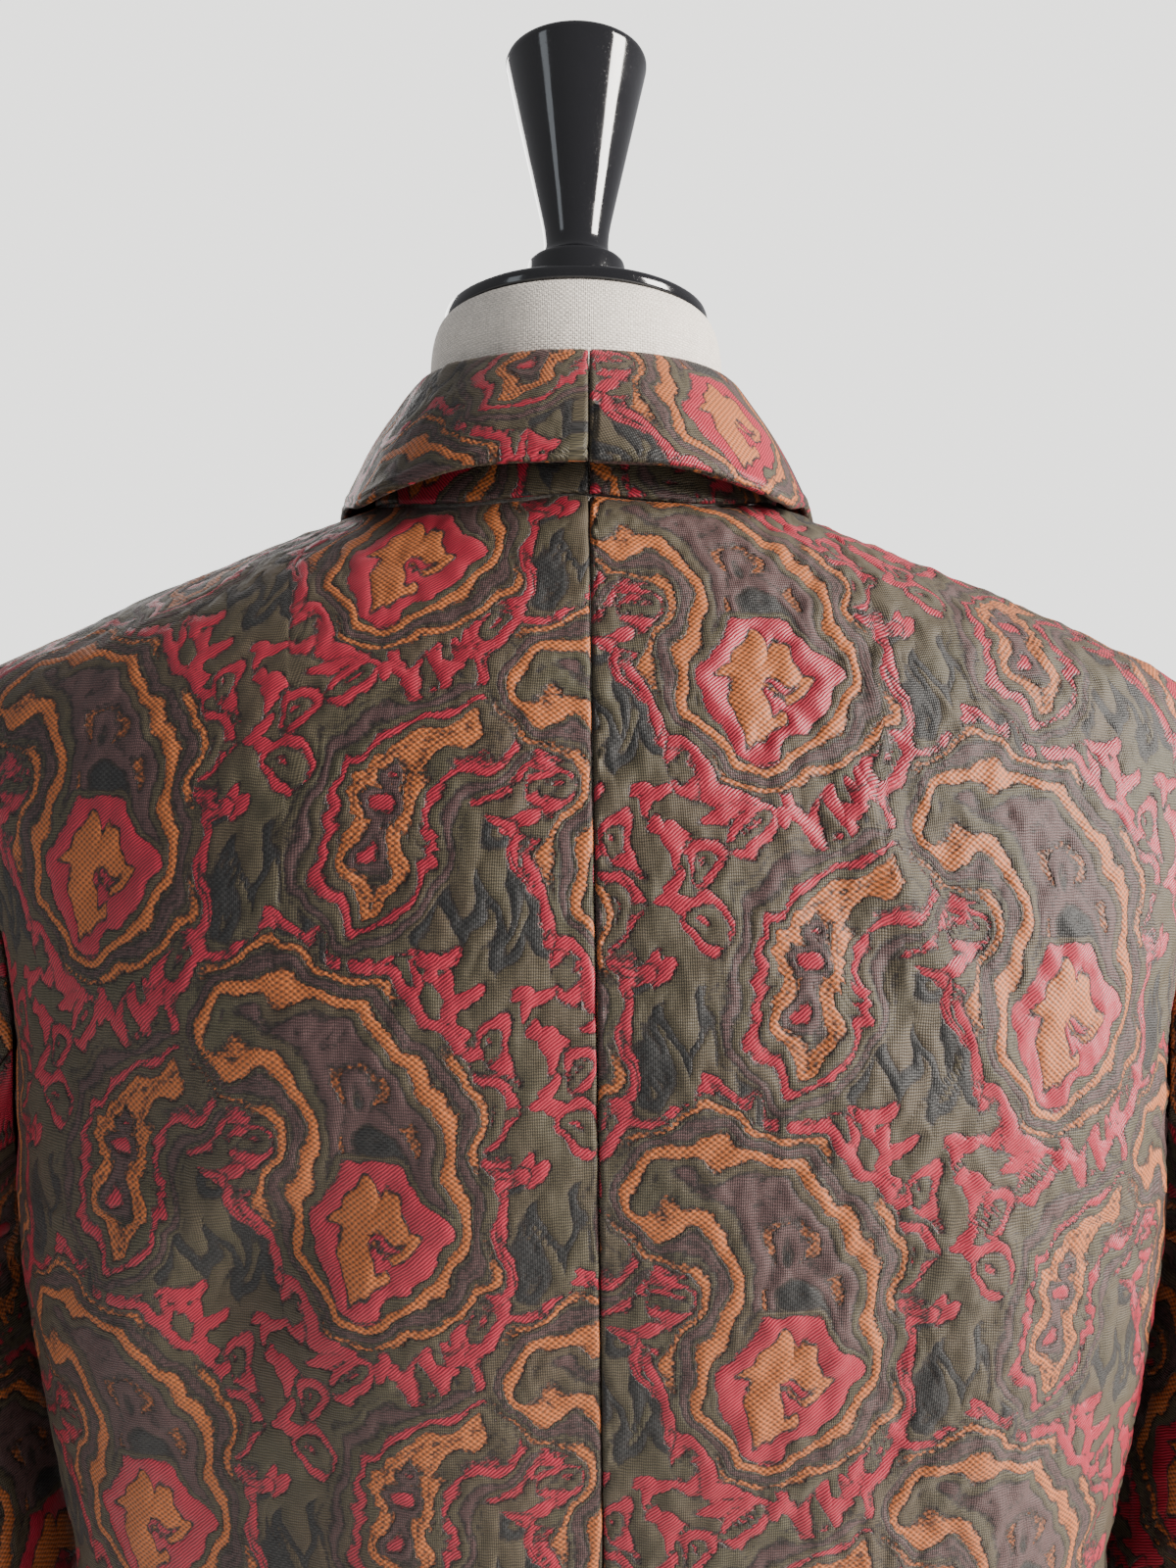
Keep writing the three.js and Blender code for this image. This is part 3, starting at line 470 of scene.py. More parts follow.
def seams(side):
    """Seam lines of one side, all on the outer surface."""
    field = skin(side)
    neck_back = settle(field, through(placed(BACK_NECK, side), np.linspace(0, 5, NECK_CELLS + 1)))
    nape = neck_back[0].copy()
    nape[0] = seam_across(NAPE_HEIGHT)
    neck_back[0] = settle(field, nape, free=(0, 1, 0))
    count = np.arange(ARMHOLE_CELLS) * len(ARMHOLE) / ARMHOLE_CELLS
    hole = settle(field, through(placed(ARMHOLE, side), count, closed=True))
    half = ARMHOLE_CELLS // 2
    heights = np.array(SIDE_HEIGHTS, dtype=float)
    flat = np.stack([along(BODY_SECTIONS, heights, 1), 0 * heights, heights], axis=1)
    side_seam = settle(field, placed(flat, side), free=(1, 1, 0))
    t = (np.arange(ROLL_CELLS) + 1) / ROLL_CELLS
    last = FRONT_NECK[-1]
    roll_height = last[2] + (BREAK_HEIGHT - last[2]) * t
    roll = np.stack([last[0] + (BREAK_ACROSS - last[0]) * t,
                     -along(BODY_SECTIONS, roll_height, 3), roll_height], axis=1)
    neck_front = settle(field, np.vstack([placed(FRONT_NECK, side), placed(roll, side)]))
    edge_rows = np.array(FRONT_EDGE, dtype=float)
    edge = placed(np.stack([edge_rows[:, 0], -along(BODY_SECTIONS, edge_rows[:, 1], 3),
                            edge_rows[:, 1]], axis=1), side)
    shoulder_at = np.linspace(0, len(SHOULDER_SEAM) - 1, SHOULDER_CELLS + 1)
    return {
        "neck_back": neck_back,
        "neck_front": neck_front,
        "shoulder": settle(field, through(placed(SHOULDER_SEAM, side), shoulder_at)),
        "hole_back": hole[:half + 1],
        "hole_front": np.vstack([hole[:1], hole[:half - 1:-1]]),
        "hole": hole,
        "side_seam": side_seam,
        "edge": settle(field, edge, free=(0, 1, 0)),
    }


def hem_line(field, start, end, part):
    """The hem between two points, kept at its height, at parts from 0 to 1 along it."""
    shift = shift_at(HEM_HEIGHT)
    a, b = (math.atan2(p[0] - shift, p[1]) for p in (start, end))
    if start[1] < 0 and a < 0 < b:
        a += 2 * math.pi
    if start[1] < 0 and b < 0 < a:
        b += 2 * math.pi
    angle = a + (b - a) * part
    points = np.stack([HEM_OVAL[0] * np.sin(angle) + shift, HEM_OVAL[1] * np.cos(angle),
                       np.full_like(angle, HEM_HEIGHT)], axis=1)
    return settle(field, points, free=(1, 1, 0))


def cell_sizes(points):
    """The widest cell of each column and the longest of each row."""
    across = np.max(np.linalg.norm(np.diff(points, axis=1), axis=2), axis=0)
    down = np.max(np.linalg.norm(np.diff(points, axis=0), axis=2), axis=1)
    return across, down


def cell_counts(sizes, spacing):
    """Counts along a seam, with each cell of the solid split to about the spacing."""
    places = [0.0]
    for k, (size, step) in enumerate(zip(sizes, np.broadcast_to(spacing, len(sizes)))):
        parts = max(1, int(round(size / step)))
        places.extend(k + (n + 1) / parts for n in range(parts))
    return np.array(places)


def coons(top, bottom, inner, outer, u, v):
    """Grid of points between four lines, smoothly blended from them."""
    u, v = u[None, :, None], v[:, None, None]
    return (top[None] * (1 - v) + bottom[None] * v + inner[:, None] * (1 - u) + outer[:, None] * u
            - top[0] * (1 - u) * (1 - v) - top[-1] * u * (1 - v)
            - bottom[0] * (1 - u) * v - bottom[-1] * u * v)


def body_panel(side, back, fine, plain):
    """Grid of one back or front panel on the skin, and the counts of its rows and columns."""
    field = skin(side)
    lines = seams(side)
    if back:
        heights = np.concatenate([
            NAPE_HEIGHT + (UNDERARM_HEIGHT - NAPE_HEIGHT) * np.arange(BACK_ROWS + 1) / BACK_ROWS,
            SIDE_HEIGHTS])
        middle = np.stack([seam_across(heights), along(BODY_SECTIONS, heights, 2), heights],
                          axis=1)
        middle = settle(field, middle, free=(0, 1, 0))
        middle[0] = lines["neck_back"][0]
        top = Seam(field, lines["neck_back"], lines["shoulder"])
        inner = Seam(field, middle)
        outer = Seam(field, lines["hole_back"],
                     np.vstack([lines["hole_back"][-1:], lines["side_seam"]]))
    else:
        top = Seam(field, lines["shoulder"])
        inner = Seam(field, lines["neck_front"],
                     np.vstack([lines["neck_front"][-1:], lines["edge"]]))
        outer = Seam(field, lines["hole_front"],
                     np.vstack([lines["hole_front"][-1:], lines["side_seam"]]))

    def grid(columns, rows):
        u, v = columns / top.count, rows / inner.count
        inner_line, outer_line = inner.at(rows), outer.at(rows)
        hem = hem_line(field, inner_line[-1], outer_line[-1], u)
        frame_points = coons(top.at(columns), hem, inner_line, outer_line, u, v)
        return settle(field, frame_points, rounds=5)

    coarse = grid(np.arange(top.count + 1.0), np.arange(inner.count + 1.0))
    across, down = cell_sizes(coarse)
    columns = cell_counts(across, fine if back else plain)
    rows = cell_counts(down, np.where(back & (np.arange(inner.count) < FINE_ROWS), fine, plain))
    return coarse, grid(columns, rows), columns, rows


def sleeve_grid(side, columns, rows):
    """Sleeve surface at counts round the armhole and counts down from it."""
    field = skin(side)
    hole = through(seams(side)["hole"], columns % ARMHOLE_CELLS, closed=True)
    hole = settle(field, hole, rounds=4)
    angle = 2 * math.pi * columns / ARMHOLE_CELLS
    normal = unit(gradient(field, hole))
    down = HEAD_DROP[0] + HEAD_DROP[1] * (1 - np.cos(angle))
    backward = HEAD_LEAN * np.sin(angle)
    outwards = np.sqrt(np.maximum(1 - down ** 2 - backward ** 2, 0.05))
    leave = unit(np.stack([side * outwards, backward, -down], axis=1))
    middle = placed(np.tile(np.array(ARMHOLE_MIDDLE, dtype=float), (len(columns), 1)), side)
    middle[:, 0] = side * ARMHOLE_MIDDLE[0] + shift_at(hole[:, 2])
    inward = middle - hole
    inward = unit(inward - normal * np.sum(inward * normal, axis=1, keepdims=True))
    low = (1 - smooth(*LOW_ARMHOLE, hole[:, 2]))[:, None]
    start = hole + SLEEVE_GAP * inward + SLEEVE_GAP * low * normal
    tube_heights = np.array([row[0] for row in SLEEVE_SECTIONS], dtype=float)

    def tube(z):
        half_width = along(SLEEVE_SECTIONS, z, 2)
        across = along(SLEEVE_SECTIONS, z, 1) + half_width * (1 + np.cos(angle))
        depth = along(SLEEVE_SECTIONS, z, 3) + along(SLEEVE_SECTIONS, z, 4) * np.sin(angle)
        return placed(np.stack([across, depth, np.broadcast_to(z, across.shape)], axis=1), side)

    end = tube(np.full(len(columns), SLEEVE_TUBE_TOP))
    length = np.linalg.norm(end - start, axis=1, keepdims=True)
    lines = []
    for row in rows:
        if row < CAP_ROWS:
            lines.append(hermite(start, end, HEAD_PULL[0] * length * leave,
                                 HEAD_PULL[1] * length * np.array([0, 0, -1.0]), row / CAP_ROWS))
        else:
            z = np.interp(row - CAP_ROWS, np.arange(len(tube_heights)), tube_heights)
            lines.append(tube(np.full(len(columns), z)))
    return np.array(lines)


def collar_sections(side, stations):
    """Middle of the collar's wall: one bent section for each station along the neckline."""
    field = skin(side)
    lines = seams(side)
    base_line = Seam(field, lines["neck_back"], lines["neck_front"])
    base = base_line.at(stations)
    angle = np.arctan2(base[:, 0], base[:, 1])
    roll = np.stack([ROLL_RING[0] * np.sin(angle), ROLL_RING[1] * np.cos(angle),
                     ROLL_RING[2] - ROLL_DIP * np.maximum(np.cos(angle), 0)], axis=1)
    reach = np.linalg.norm(roll - base, axis=1)
    height = np.minimum(along(COLLAR_STATIONS, stations, 1), reach)[:, None]
    to_neck = unit(roll - base) * height
    normal = unit(gradient(field, base))
    ahead = np.stack([shift_at(base[:, 2]) - base[:, 0], 0 * angle,
                      0 * angle + LAPEL_RISE], axis=1)
    ahead = unit(ahead - normal * np.sum(ahead * normal, axis=1, keepdims=True)) * height
    front = smooth(*FORWARD_TURN, stations)[:, None]
    up = to_neck + (ahead - to_neck) * front
    direction = unit(up)
    up = direction * height
    outside = unit(base * np.array([1, 1, 0]))
    outside = outside + (normal - outside) * front
    outside = unit(outside - direction * np.sum(outside * direction, axis=1, keepdims=True))
    start = base + STAND_FOOT[0] * direction + STAND_FOOT[1] * outside
    top = base + up
    points = [start + (top - start) * t for t in STAND_PARTS]
    centre = top + outside * ROLL_RADIUS
    for degrees in ROLL_DEGREES:
        a = math.radians(degrees)
        points.append(centre - outside * ROLL_RADIUS * math.cos(a)
                      + direction * ROLL_RADIUS * math.sin(a))
    edge = np.stack([along(COLLAR_STATIONS, stations, n) for n in (2, 3, 4)], axis=1)
    edge = placed(edge, side)
    edge[stations == 0, 0] = seam_across(edge[stations == 0, 2])
    hang = points[-1]
    for t in FALL_PARTS:
        swollen = outside * FALL_SWELL * math.sin(math.pi * t) * (1 - front)
        q = hang + (edge - hang) * t + swollen
        low = field(q) < LAPEL_LIFT
        if np.any(low):
            q[low] = settle(field, q[low], level=LAPEL_LIFT)
        points.append(q)
    return np.stack(points, axis=1)


OVER_RELAX = 1.4


def lay_flat(points, rounds=900):
    """Flattens a grid of cloth: every thread and bias keeps its length as well as it can."""
    across = np.linalg.norm(np.diff(points, axis=1), axis=2)
    down = np.linalg.norm(np.diff(points, axis=0), axis=2)
    flat = np.zeros(points.shape[:2] + (2,))
    flat[:, 1:, 0] = np.cumsum(across, axis=1)
    middle = np.mean(down, axis=1)
    flat[1:, :, 1] = -np.cumsum(middle)[:, None]
    links = []
    for dj, di in ((0, 1), (1, 0), (1, 1), (1, -1)):
        a = (slice(0, points.shape[0] - dj), slice(max(0, -di), points.shape[1] - max(0, di)))
        b = (slice(dj, None), slice(max(0, di), points.shape[1] + min(0, di)))
        links.append((a, b, np.linalg.norm(points[b] - points[a], axis=2)))
    share = np.zeros(points.shape[:2] + (1,))
    for a, b, _ in links:
        share[a] += 1
        share[b] += 1
    for _ in range(rounds):
        move = np.zeros_like(flat)
        for a, b, rest in links:
            gap = flat[b] - flat[a]
            length = np.maximum(np.linalg.norm(gap, axis=2), 1e-6)
            pull = gap * (0.5 * (length - rest) / length)[..., None]
            move[a] += pull
            move[b] -= pull
        flat += OVER_RELAX * move / share
    return flat


def between(values, rows, columns):
    """Values of a coarse grid at counts between its rows and columns, by smooth curves."""
    for index in (rows, columns):
        (p0, p1, p2, p3), w = around(values, index)
        values = np.swapaxes(hermite(p1, p2, 0.5 * (p2 - p0), 0.5 * (p3 - p1), w), 0, 1)
    return values


def near_copy(s, t, place, step=0):
    """Place of each point from the nearest copy of a motif, or one a column or more aside."""
    width, height = REPEAT
    x = s - place[0]
    column = np.round(x / width) + step
    x = x - column * width
    y = t - place[1] - (column % 2) * height / 2
    return x, y - np.round(y / height) * height


def swell(discs, x, y, soften=6.0):
    """Distance outside a row of discs run softly together."""
    total = np.zeros_like(x)
    for cx, cy, radius in discs:
        total += np.exp(-(np.hypot(x - cx, y - cy) - radius) / soften)
    return -soften * np.log(total + 1e-30) + 0.25 * soften


def band(distance, span):
    """Distance outside the stretch of another distance between two values."""
    low, high = span
    return np.abs(distance - (low + high) / 2) - (high - low) / 2


def tooth(x, pitch):
    """Triangle wave from -1 to 1."""
    return np.abs((x / pitch) % 1 - 0.5) * 4 - 1


def nearest(s, t, place, discs, soften):
    """Distance from the nearest copy of a motif, and the place from its middle."""
    best = None
    for step in (0, -1, 1):
        x, y = near_copy(s, t, place, step)
        distance = swell(discs, x, y, soften)
        if best is None:
            best = [distance, x, y]
        else:
            closer = distance < best[0]
            best = [np.where(closer, new, old) for new, old in zip((distance, x, y), best)]
    return best


def bend(waves, s, t):
    """How far slow waves over the repeat push the figure at a place on the flat cloth."""
    width, height = REPEAT
    return sum(size * np.sin(2 * math.pi * (k * s / width + m * t / height) + phase)
               for size, k, m, phase in waves)


def lobed(x, y, motif):
    """Distance outside a round motif with a lobed edge."""
    (across, up), squash, radius, lobes = motif
    angle = np.arctan2(y, x)
    return np.hypot(x - across, (y - up) * squash) - radius - sum(
        size * np.sin(count * angle + phase) for size, count, phase in lobes)


def toothed(distance, angle, teeth):
    """A distance whose level lines are toothed."""
    size, count, sway, sway_count, pitch = teeth
    return distance + size * tooth(angle * count + sway * np.sin(sway_count * angle), pitch)


def sprig_distance(x, y):
    """Distance to the nearest sprig: a small lobed spot, or an open ring with a bud.

    Its lobes and gap turn with its place, so that no two sprigs look the same.
    """
    nearest_one = np.full_like(x, FAR)
    for cx, cy, radius in SPRIGS:
        px, py = near_copy(x, y, (cx, cy))
        angle = np.arctan2(py, px)
        lobes = 1 + 0.34 * np.sin(3 * angle + cx) + 0.22 * np.sin(5 * angle + cy)
        petal = np.hypot(px, py) - 1.25 * radius * lobes
        if radius > OPEN_SPRIG:
            ring = np.abs(np.hypot(px, 0.82 * py) - 1.1 * radius) - 1.7
            ring = ring - 0.5 * np.sin(2 * angle + cx)
            gap = 2.0 - np.hypot(px - radius * math.cos(cx), py - radius * math.sin(cx))
            bud = np.hypot(px + 0.6, py - 0.4) - 1.3
            petal = np.minimum(np.maximum(ring, gap), bud)
        nearest_one = np.minimum(nearest_one, petal)
    return nearest_one


def zigzag_distance(x, y):
    """Distance to the nearest zigzag or ring of charcoal yarn."""
    nearest_one = np.full_like(x, FAR)
    for cx, cy, half, rise in ZIGZAGS:
        px, py = near_copy(x, y, (cx, cy))
        line = np.abs(py - rise * tooth(px, ZIGZAG_PITCH) - ZIGZAG_SLANT * px) * 0.55
        line = np.maximum(line - ZIGZAG_HALF_WIDTH, np.abs(px) - half)
        nearest_one = np.minimum(nearest_one, line)
    for cx, cy, radius in RINGS:
        px, py = near_copy(x, y, (cx, cy))
        ring = np.abs(np.hypot(px, py * 0.8) - radius) - RING_HALF_WIDTH
        nearest_one = np.minimum(nearest_one, ring)
    return nearest_one


def woven_figure(s, t):
    """Distances, in millimetres, to the edges of each yarn's areas on the flat cloth."""
    x, y = s + bend(BEND_ACROSS, s, t), t + bend(BEND_UP, s, t)

    drop, dx, dy = nearest(x, y, (0, 0), DROP_DISCS, DROP_SOFTEN)
    hx, hy = dx - DROP_HEART[0], (dy - DROP_HEART[1]) * HEART_SQUASH
    heart, bloom, seed = (lobed(hx, hy, motif) for motif in (HEART, BLOOM, SEED))
    off_heart = HEART_MARGIN - heart
    turn = np.arctan2(dy, dx)
    chain = toothed(drop, turn, CHAIN_TEETH)
    size, count, phase, less = CHAIN_GAPS
    chain_gap = size * np.sin(count * turn + phase) - less
    size, length, less = SPINE_STITCHES
    spine = np.maximum.reduce([band(drop, DROP_SPINE), 2.0 - heart,
                               size * np.sin(dy / length) + less])

    leaf, lx, ly = nearest(x, y, LEAF_PLACE, LEAF_DISCS, LEAF_SOFTEN)
    vein = toothed(leaf, np.arctan2(ly, lx), LEAF_TEETH)
    leaf_room = LEAF_CLEAR - drop
    free = np.minimum(drop - DROP_ROOM, leaf - LEAF_ROOM)

    crimson = np.minimum.reduce([
        np.maximum(heart, -bloom), seed, np.maximum(sprig_distance(x, y), 1.0 - free),
        np.maximum.reduce([band(vein, LEAF_CRIMSON), leaf - 6.5, leaf_room]),
        np.maximum(leaf + 9.2, leaf_room),
        np.maximum.reduce([band(chain, DROP_OUTER_CHAIN), chain_gap, 7.5 - leaf]),
    ])
    rust = np.minimum.reduce([
        np.maximum(bloom, -seed), band(drop, DROP_EDGE),
        np.maximum(band(drop, DROP_CHAIN), -chain_gap - 1.9),
        np.maximum(band(vein, LEAF_RUST), leaf_room), spine,
    ])
    mauve = np.minimum.reduce([
        band(drop, DROP_INSIDE), band(drop, DROP_HALO),
        np.maximum(band(leaf, LEAF_HALO), leaf_room + 2),
        np.maximum(band(leaf, LEAF_INSIDE), leaf_room),
    ])
    charcoal = np.minimum(np.maximum(zigzag_distance(x, y), 2.0 - free),
                          np.maximum(band(drop, DROP_CORE), off_heart))
    lines = [np.abs(drop - place) for place in DROP_CONTOURS]
    lines += [np.abs(leaf - place) for place in LEAF_CONTOURS]
    return {"crimson": crimson, "rust": rust, "mauve": np.maximum(mauve, off_heart),
            "charcoal": charcoal, "contour": np.maximum(np.minimum.reduce(lines), off_heart)}


def creases(points):
    """Soft troughs and ridges of the worn cloth, placed one by one; troughs are negative."""
    x, z = points[..., 0], points[..., 2]
    total = np.zeros_like(x)
    for x0, z0, x1, z1, width, depth, face in CREASES:
        run = np.array([x1 - x0, z1 - z0])
        length = np.hypot(*run)
        share = ((x - x0) * run[0] + (z - z0) * run[1]) / length ** 2
        aside = ((x - x0) * run[1] - (z - z0) * run[0]) / length
        ends = smooth(-0.25, 0.25, share) * (1 - smooth(0.75, 1.25, share))
        sway = 0.35 * width * np.sin(5 * share + x0)
        facing = smooth(0, 25, points[..., 1] * face)
        total += depth * ends * bell(aside + sway, width) * facing
    return total


def crumple(s, t, x, z):
    """Small puckers of the cloth between its woven areas, in millimetres."""
    ridges = (np.sin(s / 3.1 + 1.7 * np.sin(t / 7.3)) * np.sin(t / 4.4 + 1.3 * np.sin(s / 9.1))
              + 0.8 * np.sin(s / 6.7 - t / 5.1 + 1.5 * np.sin(s / 15.0))
              + 0.7 * np.sin(t / 8.3 + s / 17.0 + 2 * np.sin(t / 21.0)))
    broad = np.sin(x / 31 + 0.7 * np.sin(z / 47)) * np.sin(z / 39 + 0.5)
    small = (np.sin(s / 1.65 + 1.6 * np.sin(t / 6.1)) * np.sin(t / 5.2 + 1.1 * np.sin(s / 7.7))
             + 0.5 * np.sin(s / 2.3 - t / 3.4 + 1.3 * np.sin(t / 8.0)))
    right = smooth(*PUCKER_RIGHT, -x)
    return ((PUCKER_RIDGES[0] + PUCKER_RIDGES[1] * right) * ridges
            + (PUCKER_SMALL[0] + PUCKER_SMALL[1] * right) * small + PUCKER_BROAD * broad)


EDGES = (("first", "column"), ("last", "column"), ("first", "row"), ("last", "row"))
# An edge turned under: distance in from it, and distance under the skin.
TURN = [(0.12, 4.5), (0.12, 2.4), (0.25, 1.2), (0.6, 0.5), (1.2, 0.14), (2.0, 0.02)]
TURN_ROOM = 2.4  # a narrower first row gives way to the turned edge


def edge_first(grids, edge):
    """Grids turned so that the edge, first or last and row or column, is their first row."""
    which, axis = edge
    turned = [np.swapaxes(grid, 0, 1) if axis == "column" else grid for grid in grids]
    return [grid[::-1] for grid in turned] if which == "last" else turned


def edge_back(grids, edge):
    """The same grids turned back."""
    which, axis = edge
    turned = [grid[::-1] for grid in grids] if which == "last" else grids
    return [np.swapaxes(grid, 0, 1) if axis == "column" else grid for grid in turned]


def turn_under(grids, edge):
    """Rolls one edge of a piece under, where its grids are points, normals and flat places."""
    p, n, f = edge_first(grids, edge)
    inward, step = unit(p[1] - p[0]), unit(f[1] - f[0])
    rolled = [p[0] + a * inward - b * n[0] for a, b in TURN]
    spread = [f[0] + (a - b) * step for a, b in TURN]
    keep = 1 if np.mean(np.linalg.norm(p[1] - p[0], axis=1)) > TURN_ROOM else 2
    return edge_back([np.concatenate([rolled, p[keep:]]),
                      np.concatenate([np.repeat(n[:1], len(TURN), axis=0), n[keep:]]),
                      np.concatenate([spread, f[keep:]])], edge)


def grid_normals(points):
    across = np.gradient(points, axis=1)
    down = np.gradient(points, axis=0)
    return unit(np.cross(across, down))


def new_object(name, data):
    made = bpy.data.objects.new(name, data)
    bpy.context.scene.collection.objects.link(made)
    return made


def grid_mesh(name, sheets):
    """Mesh of grids, each of points and flat places, with the flat places as its UV map."""
    bm = bmesh.new()
    for points, _ in sheets:
        rows, columns = points.shape[:2]
        bmesh.ops.create_grid(bm, x_segments=columns - 1, y_segments=rows - 1, size=0.5)
    mesh = bpy.data.meshes.new(name)
    bm.to_mesh(mesh)
    bm.free()
    plain = np.empty(len(mesh.vertices) * 3)
    mesh.vertices.foreach_get("co", plain)
    plain = plain.reshape(-1, 3)
    places, flats, start = [], [], 0
    for points, flat in sheets:
        rows, columns = points.shape[:2]
        part = plain[start:start + rows * columns] + 0.5
        j = np.rint(part[:, 1] * (rows - 1)).astype(int)
        i = np.rint(part[:, 0] * (columns - 1)).astype(int)
        start += rows * columns
        places.append(points[j, i])
        flats.append(flat[j, i])
    mesh.vertices.foreach_set("co", (np.concatenate(places) * MM).ravel())
    flat = np.concatenate(flats)
    corners = np.empty(len(mesh.loops), dtype=np.int32)
    mesh.loops.foreach_get("vertex_index", corners)
    layer = mesh.uv_layers.new(name="cloth")
    layer.data.foreach_set("uv", (flat[corners] * MM).ravel())
    return mesh, flat


def weld(mesh, distance, close_rims=False):
    """Joins points that lie together, fills the open rims if asked, and turns faces outwards."""
    bm = bmesh.new()
    bm.from_mesh(mesh)
    bmesh.ops.remove_doubles(bm, verts=bm.verts, dist=distance)
    if close_rims:
        rims = [edge for edge in bm.edges if edge.is_boundary]
        heights = [edge.verts[0].co.z for edge in rims]
        middle = (min(heights) + max(heights)) / 2
        for upper in (True, False):
            bmesh.ops.contextual_create(bm, geom=[
                edge for edge, height in zip(rims, heights) if (height > middle) == upper])
    bmesh.ops.recalc_face_normals(bm, faces=bm.faces)
    bm.to_mesh(mesh)
    bm.free()


def cloth_object(name, sheets, facing, merge=False):
    """Cloth from grids, with the distance to each yarn's areas stored at its points."""
    mesh, flat = grid_mesh(name, sheets)
    for yarn, distance in woven_figure(flat[:, 0], flat[:, 1]).items():
        values = mesh.attributes.new(yarn, "FLOAT", "POINT")
        values.data.foreach_set("value", distance.astype(np.float32))
    points = sheets[0][0]
    across, down = np.gradient(points, axis=1), np.gradient(points, axis=0)
    if merge:
        weld(mesh, 2e-5)
    elif np.sum(np.cross(across, down) * facing) < 0:
        mesh.flip_normals()
    mesh.shade_smooth()
    mesh.update()
    return new_object(name, mesh)


def raised(points, normals, flat, settings, share=1.0):
    """Stands the woven areas proud of their outlines, and puckers the cloth between them."""
    figure = woven_figure(flat[..., 0], flat[..., 1])
    edge = np.minimum.reduce([np.abs(distance) for distance in figure.values()])
    lift = settings.relief / MM * (RELIEF_TOP - np.exp(-edge / OUTLINE_REACH))
    lift = lift + settings.pucker / MM * crumple(
        flat[..., 0], flat[..., 1], points[..., 0], points[..., 2])
    return points + normals * ((lift + creases(points)) * share)[..., None]


# Where each piece was cut from the figured cloth: across and up, in millimetres.
CUT_FROM = {
    "back_left": (-12, 30), "back_right": (26, 78), "front_left": (31, 62),
    "front_right": (-44, 15), "sleeve_left_top": (18, 90), "sleeve_left_under": (60, 10),
    "sleeve_right_top": (-30, 41), "sleeve_right_under": (12, 70), "collar_left": (40, 52),
    "collar_right": (-6, 8),
}


def on_the_bolt(node, cut, rows, columns, mirror):
    """Fine grid of a flattened piece, laid where it is cut from the figured cloth."""
    flat = between(cut, rows, columns)
    flat[..., 0] *= mirror
    return flat + np.array(CUT_FROM[node]) - flat[-1, 0]


def declare_cloth(piece, node, material):
    piece.data.materials.append(material)
    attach(piece, "root")
    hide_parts(node)


def single_layer(node, grids, settings):
    """Cloth of one layer from its points, normals and flat places, its edges turned under."""
    points, normals, flat = grids
    grids = (raised(points, normals, flat, settings), normals, flat)
    for edge in EDGES:
        grids = turn_under(grids, edge)
    points, normals, flat = grids
    return cloth_object(f"cloth_{node}", [(points, flat)], normals)


def half_name(side):
    return "left" if side > 0 else "right"


def make_body_piece(settings, material, side, back):
    node = f"{'back' if back else 'front'}_{half_name(side)}"
    coarse, points, columns, rows = body_panel(
        side, back, settings.fine_spacing / MM, settings.plain_spacing / MM)
    cut = lay_flat(coarse)
    flat = on_the_bolt(node, cut, rows, columns, -side if back else side)
    normals = unit(gradient(skin(side), points))
    piece = single_layer(node, (points, normals, flat), settings)
    declare_cloth(piece, node, material)


def make_sleeve(settings, material, side, upper):
    node = f"sleeve_{half_name(side)}_{'top' if upper else 'under'}"
    start, end = (FORE_SEAM - ARMHOLE_CELLS, HIND_SEAM) if upper else (HIND_SEAM, FORE_SEAM)
    coarse = sleeve_grid(side, np.arange(start, end + 1.0),
                         np.arange(CAP_ROWS + len(SLEEVE_SECTIONS) + 0.0))
    spacing = settings.plain_spacing / MM
    columns, rows = (cell_counts(sizes, spacing) for sizes in cell_sizes(coarse))
    points = sleeve_grid(side, start + columns, rows)
    cut = lay_flat(coarse)
    flat = on_the_bolt(node, cut, rows, columns, side)
    whole = sleeve_grid(side, np.arange(ARMHOLE_CELLS + 0.0), rows)
    normals = grid_normals(points)
    if np.sum(normals * (points - np.mean(whole, axis=1, keepdims=True))) < 0:
        normals = -normals
    piece = single_layer(node, (points, normals, flat), settings)
    declare_cloth(piece, node, material)


# Edges of the collar's wall: distance in from the edge, half of the wall there.
RAW_EDGE = [(0.0, 0.0), (0.14, 0.5), (0.45, 0.9), (0.95, 1.2), (1.7, 1.3)]
ROLLED_EDGE = [
    (0.0, 0.0), (0.1, 0.55), (0.35, 1.0), (0.8, 1.4), (1.3, 1.5), (1.8, 1.25), (2.2, 0.85),
    (2.6, 0.95), (3.1, 1.5), (3.8, 1.8), (4.8, 1.7), (6.2, 1.35),
]
FULL_WALL_OVER = 0.9  # a half wall over this is made the full one at least
ENDS_THIN_UNDER = 1.25  # the collar's ends thin the wall only where theirs is under this
BORDER_ROOM = 0.8  # least distance from a border's last row to the next one
ROLL_SPACING = 1.2
COLLAR_RELIEF = 0.8
UNDER_CUT_FROM = (37, 61)  # the under collar is cut this far from the collar


def with_border(grids, halves, edge, profile):
    """Adds rows close to one edge of the points and flat places, and to the half walls."""
    last = edge[0] == "last"
    points, flat = edge_first(grids, edge)
    halves = halves[::-1] if last else halves
    length = np.cumsum(np.mean(np.linalg.norm(np.diff(points, axis=0), axis=2), axis=1))
    keep = 1 + int(np.searchsorted(length, profile[-1][0] + BORDER_ROOM))
    turned = []
    for grid in (points, flat):
        direction = unit(grid[keep] - grid[0])
        turned.append(np.concatenate([[grid[0] + a * direction for a, _ in profile],
                                      grid[keep:]]))
    halves = np.concatenate([[half for _, half in profile], halves[keep:]])
    return edge_back(turned, edge), halves[::-1] if last else halves


